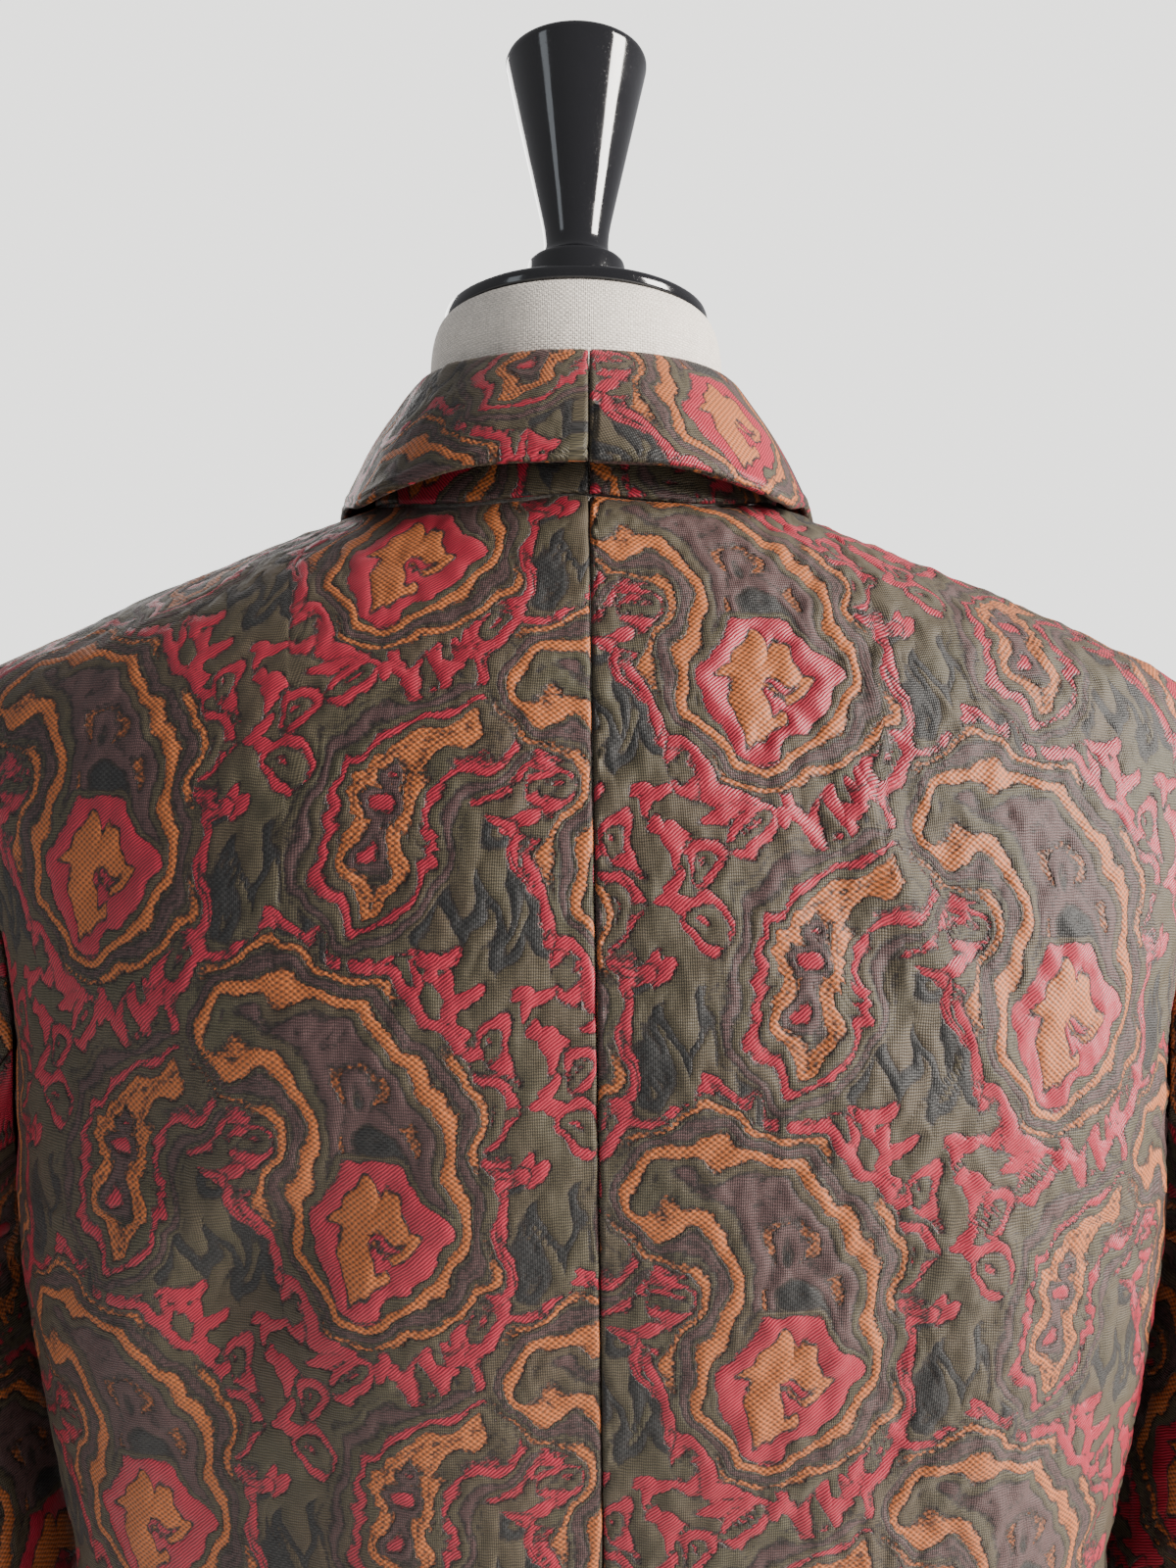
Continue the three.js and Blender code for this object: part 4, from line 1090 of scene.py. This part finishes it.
def make_collar(settings, material, side):
    node = f"collar_{half_name(side)}"
    spacing = settings.collar_spacing / MM
    coarse = np.swapaxes(collar_sections(side, np.arange(COLLAR_STATION_COUNT + 0.0)), 0, 1)
    across, down = cell_sizes(coarse)
    columns = cell_counts(across, spacing)
    parts = ((STAND_PARTS[1:], spacing), (ROLL_DEGREES, ROLL_SPACING), (FALL_PARTS, spacing))
    rows = cell_counts(down, [step for part, step in parts for _ in part])
    middle = through(np.swapaxes(collar_sections(side, columns), 0, 1), rows)
    middle[:, 0, 0] = seam_across(NAPE_HEIGHT) + side * SEAM_GAP
    cut = lay_flat(coarse)
    grids = [middle, on_the_bolt(node, cut, rows, columns, -side)]
    halves = {"row": np.full(len(rows), COLLAR_HALF_WALL),
              "column": np.full(len(columns), COLLAR_HALF_WALL)}
    for edge, profile in ((("first", "row"), RAW_EDGE), (("last", "row"), ROLLED_EDGE),
                          (("first", "column"), RAW_EDGE), (("last", "column"), RAW_EDGE)):
        grids, halves[edge[1]] = with_border(grids, halves[edge[1]], edge, profile)
    middle, flat = grids
    by_row, by_column = halves["row"], halves["column"]
    by_row = np.maximum(by_row, COLLAR_HALF_WALL * (by_row > FULL_WALL_OVER))
    by_column = np.where(by_column > ENDS_THIN_UNDER, np.inf, by_column)
    half_wall = np.minimum(by_row[:, None], by_column)
    normals = grid_normals(middle)
    if normals[-len(ROLLED_EDGE), 4, 1] < 0:
        normals = -normals
    inside = np.clip(half_wall / COLLAR_HALF_WALL, 0, 1) ** 4
    offset = normals * half_wall[..., None]
    outer = raised(middle + offset, normals, flat, settings, COLLAR_RELIEF * inside)
    piece = cloth_object(
        f"cloth_{node}", [(outer, flat), (middle - offset, flat + np.array(UNDER_CUT_FROM))],
        normals, merge=True)
    declare_cloth(piece, node, material)


MIX_INPUTS = (0, 6, 7)  # a colour mix's factor and two colours
MIX_RESULT = 2


class Wiring:
    """Short calls that place and join the nodes of one tree."""

    def __init__(self, tree):
        self.tree = tree

    def node(self, kind, **settings):
        made = self.tree.nodes.new(kind)
        for key, value in settings.items():
            setattr(made, key, value)
        return made

    def feed(self, socket, value):
        if isinstance(value, bpy.types.NodeSocket):
            self.tree.links.new(value, socket)
        else:
            socket.default_value = value

    def call(self, kind, values, output=0, **settings):
        """Output of a new node whose first sockets are given values or joined, in turn."""
        made = self.node(kind, **settings)
        for socket, value in zip(made.inputs, values):
            self.feed(socket, value)
        return made.outputs[output]

    def math(self, operation, *values):
        return self.call("ShaderNodeMath", values, operation=operation)

    def times(self, a, b):
        return self.math("MULTIPLY", a, b)

    def plus(self, a, b):
        return self.math("ADD", a, b)

    def minus(self, a, b):
        return self.math("SUBTRACT", a, b)

    def stretch(self, place, shares):
        return self.call("ShaderNodeVectorMath", (place, shares), operation="MULTIPLY")

    def millimetres(self, place):
        scaled = self.call("ShaderNodeVectorMath", [place], operation="SCALE")
        scaled.node.inputs["Scale"].default_value = 1 / MM
        return scaled

    def object_place(self):
        return self.node("ShaderNodeTexCoord").outputs["Object"]

    def cloth_place(self):
        """Place on the flat cloth, in millimetres."""
        return self.millimetres(self.node("ShaderNodeUVMap", uv_map="cloth").outputs[0])

    def join(self, x, y, z=0.0):
        return self.call("ShaderNodeCombineXYZ", (x, y, z))

    def split(self, vector):
        return self.call("ShaderNodeSeparateXYZ", [vector]).node.outputs

    def mix(self, factor, a, b, blend="MIX"):
        made = self.node("ShaderNodeMix", data_type="RGBA", blend_type=blend)
        for index, value in zip(MIX_INPUTS, (factor, a, b)):
            opaque = isinstance(value, tuple) and len(value) == 3
            self.feed(made.inputs[index], (*value, 1.0) if opaque else value)
        return made.outputs[MIX_RESULT]

    def shade(self, colour, factor):
        return self.mix(1.0, colour, self.join(factor, factor, factor), "MULTIPLY")

    def tones(self, factor, colour, share):
        """A mix from a colour to a share of it."""
        return self.mix(factor, tuple(colour), tuple(part * share for part in colour))

    def span(self, value, low, high, to_low=0.0, to_high=1.0):
        return self.call("ShaderNodeMapRange", (value, low, high, to_low, to_high))

    def noise(self, place, scale, detail=2.0):
        made = self.node("ShaderNodeTexNoise")
        self.feed(made.inputs["Vector"], place)
        made.inputs["Scale"].default_value = scale
        made.inputs["Detail"].default_value = detail
        return made.outputs[0]

    def bump(self, height):
        """Normal over a height in millimetres."""
        made = self.node("ShaderNodeBump")
        made.inputs["Strength"].default_value = 1.0
        made.inputs["Distance"].default_value = 1.0
        self.feed(made.inputs["Height"], self.times(height, MM))
        return made.outputs[0]

    def threads(self, place, pitch):
        """Outputs of the shared group of weaves, at a place and a pitch in millimetres."""
        made = self.node("ShaderNodeGroup")
        made.node_tree = thread_group()
        self.feed(made.inputs["Place"], place)
        self.feed(made.inputs["Pitch"], pitch)
        return made.outputs


def thread_group():
    """Heights of a rib, a twill and a basket weave for a place in millimetres."""
    found = bpy.data.node_groups.get("threads")
    if found:
        return found
    tree = bpy.data.node_groups.new("threads", "ShaderNodeTree")
    for title, kind in (("Place", "NodeSocketVector"), ("Pitch", "NodeSocketFloat")):
        tree.interface.new_socket(title, in_out="INPUT", socket_type=kind)
    for title in ("Rib", "Twill", "Basket", "Uneven"):
        tree.interface.new_socket(title, in_out="OUTPUT", socket_type="NodeSocketFloat")
    w = Wiring(tree)
    given, out = w.node("NodeGroupInput").outputs, w.node("NodeGroupOutput").inputs
    x, y, _ = w.split(given["Place"])
    bent = w.plus(y, w.times(w.noise(given["Place"], 0.3, 1.0), 0.9))
    turn = w.math("DIVIDE", 2 * math.pi, given["Pitch"])

    def wave(along_way, share):
        return w.math("SINE", w.times(along_way, w.times(turn, share)))

    w.feed(out["Rib"], w.plus(w.times(wave(bent, 1.25), 0.65), w.times(wave(x, 1.7), 0.35)))
    w.feed(out["Twill"], wave(w.minus(w.times(x, 0.8), bent), 0.95))
    w.feed(out["Basket"], w.times(wave(x, 0.5), wave(bent, 0.62)))
    streaks = w.noise(w.stretch(given["Place"], (0.12, 2.2, 1.0)), 1.0)
    slubs = w.noise(w.stretch(given["Place"], (2.4, 0.1, 1.0)), 1.0)
    w.feed(out["Uneven"], w.plus(w.times(streaks, 0.5), w.times(slubs, 0.5)))
    return tree


def new_material(name, finish):
    """An empty material, with those sockets of its shader that hold one value set."""
    made = bpy.data.materials.get(name) or bpy.data.materials.new(name)
    made.use_nodes = True
    made.node_tree.nodes.clear()
    w = Wiring(made.node_tree)
    shader = w.node("ShaderNodeBsdfPrincipled")
    w.feed(w.node("ShaderNodeOutputMaterial").inputs["Surface"], shader.outputs[0])
    for socket, value in finish.items():
        shader.inputs[socket].default_value = value
    return made, w, shader.inputs


# How each yarn looks: its darkest share, its weave, and how deep the weave's painted shade goes.
YARN_TONES_AND_WEAVE_SHADE = {
    "ground": (0.5, "Rib", 0.72), "ground_brown": (0.5, "Rib", 0.72),
    "charcoal": (0.5, "Basket", 0.75), "mauve": (0.55, "Rib", 0.7), "rust": (0.5, "Basket", 0.5),
    "crimson": (0.55, "Twill", 0.6),
}
FIGURE_YARNS = ("charcoal", "mauve", "rust", "crimson")  # each lies over those before it
STEPS = (1 / 1.2, 1 / 0.75, 1.0)  # steps of the figure's edges, counted per millimetre
STEP_DEPTH = 0.62
EDGE_BLUR = 0.14
OUTLINE = (0.25, 0.7, 1.0)  # distances where it starts and ends to fade, and its strength
CONTOUR = (0.2, 0.6, 0.9)
OUTLINE_COLOUR = (0.013, 0.009, 0.008)
WEAVE_HEIGHTS = (("Twill", "crimson", 0.075), ("Basket", "rust", 0.12), ("Rib", "bare", 0.1))
PUFF_HEIGHT = 0.3
BROCADE_FINISH = {
    "Sheen Weight": 0.07, "Sheen Roughness": 0.4, "Sheen Tint": (1.0, 0.86, 0.76, 1.0),
    "Specular IOR Level": 0.33,
}


def brocade_material(settings):
    """Figured cloth: five yarns, each with its own weave painted darker in its gaps as shade and
    lighter on its crowns, and dark broken outlines.
    """
    made, w, shader = new_material("brocade", BROCADE_FINISH)
    place = w.cloth_place()
    speck = w.node("ShaderNodeTexWhiteNoise", noise_dimensions="2D")
    cell = w.call("ShaderNodeVectorMath", [w.stretch(place, STEPS)], operation="FLOOR")
    w.feed(speck.inputs["Vector"], cell)
    stepped = w.times(w.minus(speck.outputs["Value"], 0.5), STEP_DEPTH)

    def distance(name):
        return w.plus(w.node("ShaderNodeAttribute", attribute_name=name).outputs["Fac"], stepped)

    distances = {yarn: distance(yarn) for yarn in FIGURE_YARNS}
    contour = w.math("ABSOLUTE", distance("contour"))
    masks = {yarn: w.span(d, -EDGE_BLUR, EDGE_BLUR, 1.0, 0.0) for yarn, d in distances.items()}
    edges = [w.math("ABSOLUTE", d) for d in distances.values()]
    edge = w.math("MINIMUM", w.math("MINIMUM", *edges[:2]), w.math("MINIMUM", *edges[2:]))
    threads = w.threads(place, settings.weave_pitch / MM)
    uneven = threads["Uneven"]

    def yarn_colour_with_painted_shade(yarn):
        dark, weave, depth = YARN_TONES_AND_WEAVE_SHADE[yarn]
        toned = w.tones(w.times(uneven, 0.6), getattr(settings, yarn), dark)
        # The weave's heights scale the colour: painted shade in the gaps between threads, painted
        # highlight on their crowns.
        return w.shade(toned, w.span(threads[weave], -1.0, 1.0, 1.0 - depth, 1.0 + 0.5 * depth))

    cloudy = w.span(w.noise(place, 0.028), 0.3, 0.7)
    ground = w.mix(cloudy, yarn_colour_with_painted_shade("ground"), yarn_colour_with_painted_shade("ground_brown"))
    colour = ground
    for yarn in FIGURE_YARNS:
        shown = yarn_colour_with_painted_shade(yarn)
        if yarn == "rust":  # the ground shows between its threads
            shown = w.mix(w.span(threads["Basket"], -0.75, -0.1, 0.55, 0.0), shown, ground)
        colour = w.mix(masks[yarn], colour, shown)
    line = w.math("MAXIMUM", w.span(edge, *OUTLINE, 0.0), w.span(contour, *CONTOUR, 0.0))
    broken = w.span(w.noise(place, 0.5, 1.0), 0.35, 0.55, 0.35, 0.95)
    w.feed(shader["Base Color"], w.mix(w.times(line, broken), colour, OUTLINE_COLOUR))

    rough = w.span(masks["crimson"], 0.0, 1.0, 0.58, 0.45)
    w.feed(shader["Roughness"], w.plus(rough, w.times(w.minus(uneven, 0.5), 0.2)))
    masks["bare"] = w.minus(1.0, w.math("MAXIMUM", masks["crimson"], masks["rust"]))
    puff = w.minus(1.0, w.math("EXPONENT", w.times(edge, -0.75)))
    wrinkle = w.times(w.noise(w.stretch(place, (0.16, 0.11, 1.0)), 1.0, 1.0),
                      w.span(masks["bare"], 0.0, 1.0, 0.4, 1.1))
    height = w.plus(w.times(puff, PUFF_HEIGHT), wrinkle)
    for weave, yarn, rise in WEAVE_HEIGHTS:
        height = w.plus(height, w.times(w.times(threads[weave], masks[yarn]), rise))
    w.feed(shader["Normal"], w.bump(height))
    return made


def linen_material(settings):
    """Plain undyed linen with uneven threads, its weave painted darker in the gaps as shade."""
    made, w, shader = new_material("linen", {"Sheen Weight": 0.1})
    threads = w.threads(w.cloth_place(), 1.1)
    uneven = threads["Uneven"]
    colour = w.tones(w.span(uneven, 0.32, 0.68), settings.linen, 0.62)
    crossing = w.plus(w.times(threads["Basket"], 0.45), w.times(threads["Rib"], 0.55))
    # The weave's crossings scale the colour: painted shade in the gaps between threads, a faint
    # painted highlight on their crowns.
    w.feed(shader["Base Color"], w.shade(colour, w.span(crossing, -0.7, 0.4, 0.6, 1.08)))
    w.feed(shader["Roughness"], w.span(uneven, 0.0, 1.0, 0.82, 0.98))
    w.feed(shader["Normal"], w.bump(w.plus(w.times(crossing, 0.2), w.times(uneven, 0.3))))
    return made


def lacquer_material(settings):
    """Black gloss lacquer with faint ripples and fine dust in it."""
    made, w, shader = new_material("black_lacquer", {"Coat Weight": 0.3, "Coat Roughness": 0.05})
    place = w.millimetres(w.object_place())
    clouds = w.noise(place, 0.05, 3.0)
    w.feed(shader["Base Color"], w.tones(clouds, settings.lacquer, 1.6))
    dust = w.span(w.noise(place, 1.4), 0.62, 0.75, 0.0, 0.2)
    w.feed(shader["Roughness"], w.plus(w.span(clouds, 0.3, 0.7, 0.07, 0.14), dust))
    w.feed(shader["Normal"], w.bump(w.times(w.noise(place, 0.09, 1.0), 0.12)))
    return made


def steel_material(settings):
    """Dark steel, brushed and a little worn."""
    made, w, shader = new_material("dark_steel", {"Metallic": 0.85})
    place = w.millimetres(w.object_place())
    x, y, z = w.split(place)
    radius = w.call("ShaderNodeVectorMath", [w.join(x, y)], "Value", operation="LENGTH")
    brushed = w.noise(w.join(w.times(radius, 1.4), z), 1.0, 3.0)
    worn = w.times(brushed, w.noise(place, 0.02, 4.0))
    w.feed(shader["Base Color"], w.tones(worn, settings.steel, 2.2))
    w.feed(shader["Roughness"], w.span(brushed, 0.3, 0.7, 0.28, 0.46))
    w.feed(shader["Normal"], w.bump(w.times(brushed, 0.03)))
    return made


def horn_material(settings):
    """Dark horn with streaks."""
    made, w, shader = new_material("horn", {})
    place = w.millimetres(w.object_place())
    streaks = w.noise(w.stretch(place, (0.3, 0.3, 0.06)), 1.0, 4.0)
    w.feed(shader["Base Color"], w.tones(w.span(streaks, 0.35, 0.65), settings.horn, 3.0))
    w.feed(shader["Roughness"], w.span(w.noise(place, 0.8), 0.3, 0.7, 0.25, 0.4))
    w.feed(shader["Normal"], w.bump(w.times(streaks, 0.05)))
    return made


def floor_material(settings):
    """Pale plain floor."""
    made, w, shader = new_material("studio_floor", {})
    cloud = w.noise(w.object_place(), 1.5, 3.0)
    w.feed(shader["Base Color"], w.tones(cloud, settings.floor, 0.96))
    w.feed(shader["Roughness"], w.span(cloud, 0.3, 0.7, 0.75, 0.85))
    return made


def form_field(points):
    """Signed distance, roughly, to the linen form under the cloth."""
    drop = FORM_ROOF_DROP + FORM_FRONT_DROP * (1 - smooth(-16, 4, points[..., 1]))
    body = blend_max(column(points, FORM_SECTIONS), above_roof(points) + drop, SHOULDER_BLEND)
    neck = np.hypot(points[..., 0], points[..., 1]) - NECK_RADIUS
    return -blend_max(-body, -neck, NECK_BLEND)


def form_rings(sides, step):
    """Rings of the linen form, found on its field along rays from its middle."""
    rounding = np.sin(np.linspace(0, math.pi / 2, NECK_ROUND_RINGS))
    heights = np.concatenate([np.arange(FORM_BOTTOM, NECK_SHOULDER, step),
                              NECK_SHOULDER + (NECK_TOP - NECK_SHOULDER) * rounding])
    angle = 2 * math.pi * np.arange(sides + 1) / sides
    z, a = np.meshgrid(heights, angle, indexing="ij")
    low, high = (np.full_like(z, reach) for reach in FORM_REACH)
    centre = shift_at(z)
    for _ in range(REACH_HALVINGS):
        middle = (low + high) / 2
        points = np.stack([centre + middle * np.cos(a), middle * np.sin(a), z], axis=-1)
        inside = form_field(points) < 0
        low, high = np.where(inside, middle, low), np.where(inside, high, middle)
    t = np.clip((z - NECK_SHOULDER) / (NECK_TOP - NECK_SHOULDER), 0, 1)
    neck = NECK_TOP_RADIUS + (NECK_RADIUS - NECK_TOP_RADIUS) * np.sqrt(1 - t * t)
    radius = np.where(z >= NECK_SHOULDER, neck, low)
    centre = np.where(z >= NECK_SHOULDER, 0.0, centre)
    points = np.stack([centre + radius * np.cos(a), radius * np.sin(a), z], axis=-1)
    return points, np.stack([a * NECK_RADIUS, z], axis=-1)


def finish_solid(piece, node, material):
    piece.data.materials.append(material)
    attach(piece, "root")
    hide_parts(node)


def make_form(settings, material):
    rings = form_rings(settings.form_sides, settings.form_spacing / MM)
    mesh, _ = grid_mesh("linen_form", [rings])
    weld(mesh, 1e-5, close_rims=True)
    mesh.shade_smooth()
    finish_solid(new_object("linen_form", mesh), "form_torso", material)


def make_turned(name, node, material, profile, steps, place=None):
    """A turned piece, spun from a profile of radius and height."""
    bm = bmesh.new()
    verts = [bm.verts.new((r * MM, 0, z * MM)) for r, z in profile]
    edges = [bm.edges.new(pair) for pair in zip(verts, verts[1:])]
    bmesh.ops.spin(bm, geom=verts + edges, cent=(0, 0, 0), axis=(0, 0, 1), angle=2 * math.pi,
                   steps=steps, use_merge=True)
    bmesh.ops.remove_doubles(bm, verts=bm.verts, dist=1e-6)
    bmesh.ops.recalc_face_normals(bm, faces=bm.faces)
    if place is not None:
        bmesh.ops.transform(bm, matrix=place, verts=bm.verts)
    mesh = bpy.data.meshes.new(name)
    bm.to_mesh(mesh)
    bm.free()
    mesh.shade_smooth()
    finish_solid(new_object(name, mesh), node, material)


def button_place(height):
    """Seat of a button on the left front, as a matrix in metres."""
    field = skin(1)
    point = np.array([[shift_at(height), -120.0, height]])
    seat = settle(field, point, free=(0, 1, 0))
    normal = Vector(unit(gradient(field, seat))[0])
    turn = Vector((0, 0, 1)).rotation_difference(normal).to_matrix().to_4x4()
    return Matrix.Translation((Vector(seat[0]) + normal * BUTTON_SEAT) * MM) @ turn


def length(name, description, default, least=0.5):
    """A length setting, given in millimetres."""
    return bpy.props.FloatProperty(
        name=name, description=description, default=default * MM, min=least * MM, unit="LENGTH")


def tint(name, description, default, **limits):
    return bpy.props.FloatVectorProperty(
        name=name, description=description, default=default, subtype="COLOR", **limits)


def power(name, description, default):
    return bpy.props.FloatProperty(
        name=name, description=description, default=default, unit="POWER")


class BlazerCloth(bpy.types.PropertyGroup):
    fine_spacing: length("Fine spacing", "Spacing of the mesh on the upper back", 1.7)
    plain_spacing: length("Plain spacing", "Spacing of the mesh on the rest of the cloth", 2.9)
    collar_spacing: length("Collar spacing", "Spacing of the mesh on the collar", 2.1)
    relief: length("Relief", "How far the woven areas stand proud of their outlines", 0.5, 0)
    pucker: length("Pucker", "Height of the small puckers of the cloth", 1.0, 0)
    weave_pitch: length("Weave pitch", "Distance between the coarser weaves' threads", 1.15, 0.2)
    ground: tint("Ground", "Olive ground yarn", (0.067, 0.058, 0.032))
    ground_brown: tint("Ground, brown", "Browner patches of the ground", (0.075, 0.053, 0.031))
    crimson: tint("Crimson", "Crimson yarn", (0.37, 0.016, 0.038))
    rust: tint("Rust", "Rust yarn", (0.42, 0.115, 0.03))
    mauve: tint("Mauve", "Mauve brown yarn", (0.082, 0.042, 0.041))
    charcoal: tint("Charcoal", "Charcoal yarn", (0.021, 0.021, 0.021))


class BlazerForm(bpy.types.PropertyGroup):
    form_sides: bpy.props.IntProperty(
        name="Sides", description="Sides of the form's rings", default=128, min=24)
    form_spacing: length("Ring spacing", "Height between the form's rings", 6, 1)
    turned_steps: bpy.props.IntProperty(
        name="Turned steps", description="Steps round each turned piece", default=96, min=16)
    linen: tint("Linen", "Undyed linen of the form", (0.86, 0.79, 0.7))
    lacquer: tint("Lacquer", "Black lacquer of the cap and finial", (0.004, 0.004, 0.005))
    steel: tint("Steel", "Dark steel of the pole and base", (0.05, 0.05, 0.053))
    horn: tint("Horn", "Horn of the buttons", (0.02, 0.012, 0.008))


class BlazerStudio(bpy.types.PropertyGroup):
    lens: bpy.props.FloatProperty(
        name="Lens", description="Focal length in millimetres on a 36 mm sensor", default=27.05)
    camera_place: bpy.props.FloatVectorProperty(
        name="Camera", description="Place of the camera", subtype="TRANSLATION", unit="LENGTH",
        default=(-0.0047, 0.47, 1.02))
    key_power: power("Window light", "Power of the large soft light", 205.0)
    fill_power: power("Fill light", "Power of the cool light on the other side", 5.0)
    front_power: power("Front light", "Power of the soft light on the fronts", 55.0)
    wall: tint("Wall", "Pale wall behind the form", (2.25, 2.23, 2.17), soft_max=4.0)
    room: tint("Room", "Light from the rest of the room", (0.4, 0.4, 0.415))
    floor: tint("Floor", "Pale floor", (0.78, 0.775, 0.76))


SIDES = (1, -1)  # the wearer's left and right
BUTTON_STEPS = 48
SENSOR_WIDTH = 36.0
CAMERA_TURN = (math.pi / 2, 0.0, math.pi)  # level, looking to the front from behind
NEAR_CLIP = 0.01
FLOOR_RADIUS = 4.0
FLOOR_SIDES = 96
FLOOR_DROP = 0.0005  # how far the floor lies under the base

# Soft lights: name, setting of its power, place, what it is turned to, size and colour.
LIGHTS = (
    ("window", "key_power", (-1.95, 0.72, 1.5), (0, 0.05, 1.0), (0.8, 1.3), (1.0, 0.95, 0.89)),
    ("fill", "fill_power", (1.6, 1.3, 1.2), (0, 0.05, 0.95), (0.4, 1.6), (0.86, 0.93, 1.0)),
    ("front_fill", "front_power", (0.9, -2.2, 1.7), (0, 0, 0.8), (1.6, 1.6), (1.0, 0.98, 0.95)),
)


def make_cloth(scene, make, *kinds):
    """Makes each kind of a piece of cloth for the left and then for the right."""
    settings = scene.blazer_cloth
    material = brocade_material(settings)
    for side in SIDES:
        for kind in kinds:
            make(settings, material, side, **kind)


def make_floor(settings):
    bm = bmesh.new()
    bmesh.ops.create_circle(bm, cap_ends=True, segments=FLOOR_SIDES, radius=FLOOR_RADIUS)
    mesh = bpy.data.meshes.new("studio_floor")
    bmesh.ops.translate(bm, vec=(0, 0, -FLOOR_DROP), verts=bm.verts)
    bm.to_mesh(mesh)
    bm.free()
    floor = new_object("studio_floor", mesh)
    mesh.materials.append(floor_material(settings))


def make_room(scene, settings):
    world = bpy.data.worlds.new("pale_room")
    world.use_nodes = True
    w = Wiring(world.node_tree)
    seen = w.node("ShaderNodeLightPath").outputs["Is Camera Ray"]
    pale = w.mix(seen, tuple(settings.room), tuple(settings.wall))
    w.feed(world.node_tree.nodes["Background"].inputs["Color"], pale)
    scene.world = world
    for name, setting, place, target, size, colour in LIGHTS:
        data = bpy.data.lights.new(name, "AREA")
        data.shape, data.size, data.size_y = "RECTANGLE", *size
        data.energy, data.color = getattr(settings, setting), colour
        light = new_object(name, data)
        light.location = place
        way = Vector(target) - Vector(place)
        light.rotation_euler = way.to_track_quat("-Z", "Y").to_euler()


def make_camera(scene, settings):
    data = bpy.data.cameras.new("camera")
    data.lens, data.sensor_width, data.sensor_fit = settings.lens, SENSOR_WIDTH, "AUTO"
    data.clip_start = NEAR_CLIP
    camera = new_object("camera", data)
    camera.location = settings.camera_place
    camera.rotation_euler = CAMERA_TURN
    scene.camera = camera


class BlazerStep:
    """What the operators share: each builds its own pieces."""

    def execute(self, context):
        self.build(context.scene)
        return {"FINISHED"}


class BLAZER_OT_stage(BlazerStep, bpy.types.Operator):
    """Make the floor, the soft light and the camera"""
    bl_idname = "blazer.stage"
    bl_label = "Stage"

    def build(self, scene):
        settings = scene.blazer_studio
        make_floor(settings)
        make_room(scene, settings)
        make_camera(scene, settings)


class BLAZER_OT_body(BlazerStep, bpy.types.Operator):
    """Make the backs and fronts from the flat cloth"""
    bl_idname = "blazer.body"
    bl_label = "Backs and fronts"

    def build(self, scene):
        make_cloth(scene, make_body_piece, {"back": True}, {"back": False})


class BLAZER_OT_sleeves(BlazerStep, bpy.types.Operator):
    """Make the two-piece sleeves"""
    bl_idname = "blazer.sleeves"
    bl_label = "Sleeves"

    def build(self, scene):
        make_cloth(scene, make_sleeve, {"upper": True}, {"upper": False})


class BLAZER_OT_collar(BlazerStep, bpy.types.Operator):
    """Make the shawl collar with its rolled edge"""
    bl_idname = "blazer.collar"
    bl_label = "Collar"

    def build(self, scene):
        make_cloth(scene, make_collar, {})


class BLAZER_OT_buttons(BlazerStep, bpy.types.Operator):
    """Make the horn buttons"""
    bl_idname = "blazer.buttons"
    bl_label = "Buttons"

    def build(self, scene):
        horn = horn_material(scene.blazer_form)
        for node, height in zip(("button_upper", "button_lower"), BUTTON_HEIGHTS):
            make_turned(f"horn_{node}", node, horn, BUTTON_PROFILE, BUTTON_STEPS,
                        button_place(height))


class BLAZER_OT_form(BlazerStep, bpy.types.Operator):
    """Make the linen form with its lacquered cap and finial"""
    bl_idname = "blazer.form"
    bl_label = "Dress form"

    def build(self, scene):
        settings = scene.blazer_form
        make_form(settings, linen_material(settings))
        lacquer = lacquer_material(settings)
        for name, node, profile in (("lacquered_cap", "neck_cap", CAP_PROFILE),
                                    ("lacquered_finial", "finial", FINIAL_PROFILE)):
            make_turned(name, node, lacquer, profile, settings.turned_steps)


class BLAZER_OT_stand(BlazerStep, bpy.types.Operator):
    """Make the steel pole and base"""
    bl_idname = "blazer.stand"
    bl_label = "Stand"

    def build(self, scene):
        settings = scene.blazer_form
        steel = steel_material(settings)
        for name, node, profile in (("steel_pole", "pole", POLE_PROFILE),
                                    ("steel_base", "stand_base", BASE_PROFILE)):
            make_turned(name, node, steel, profile, settings.turned_steps)


OPERATORS = (BLAZER_OT_stage, BLAZER_OT_body, BLAZER_OT_sleeves, BLAZER_OT_collar,
             BLAZER_OT_buttons, BLAZER_OT_form, BLAZER_OT_stand)


class BLAZER_PT_pieces(bpy.types.Panel):
    """Lists the pieces of the blazer and its form"""
    bl_label = "Brocade blazer"
    bl_idname = "BLAZER_PT_pieces"
    bl_space_type = "VIEW_3D"
    bl_region_type = "UI"
    bl_category = "Blazer"

    def draw(self, context):
        scene = context.scene
        for operator in OPERATORS:
            self.layout.operator(operator.bl_idname)
        for settings in (scene.blazer_cloth, scene.blazer_form, scene.blazer_studio):
            box = self.layout.box()
            for name in settings.__annotations__:
                box.prop(settings, name)


CLASSES = (BlazerCloth, BlazerForm, BlazerStudio, *OPERATORS, BLAZER_PT_pieces)


def register():
    for kind in CLASSES:
        bpy.utils.register_class(kind)
    bpy.types.Scene.blazer_cloth = bpy.props.PointerProperty(type=BlazerCloth)
    bpy.types.Scene.blazer_form = bpy.props.PointerProperty(type=BlazerForm)
    bpy.types.Scene.blazer_studio = bpy.props.PointerProperty(type=BlazerStudio)


def unregister():
    for name in ("blazer_cloth", "blazer_form", "blazer_studio"):
        delattr(bpy.types.Scene, name)
    for kind in reversed(CLASSES):
        bpy.utils.unregister_class(kind)


def main():
    register()
    for operator in OPERATORS:
        name = operator.bl_idname.split(".")[1]
        getattr(bpy.ops.blazer, name)()


if __name__ == "__main__":
    main()
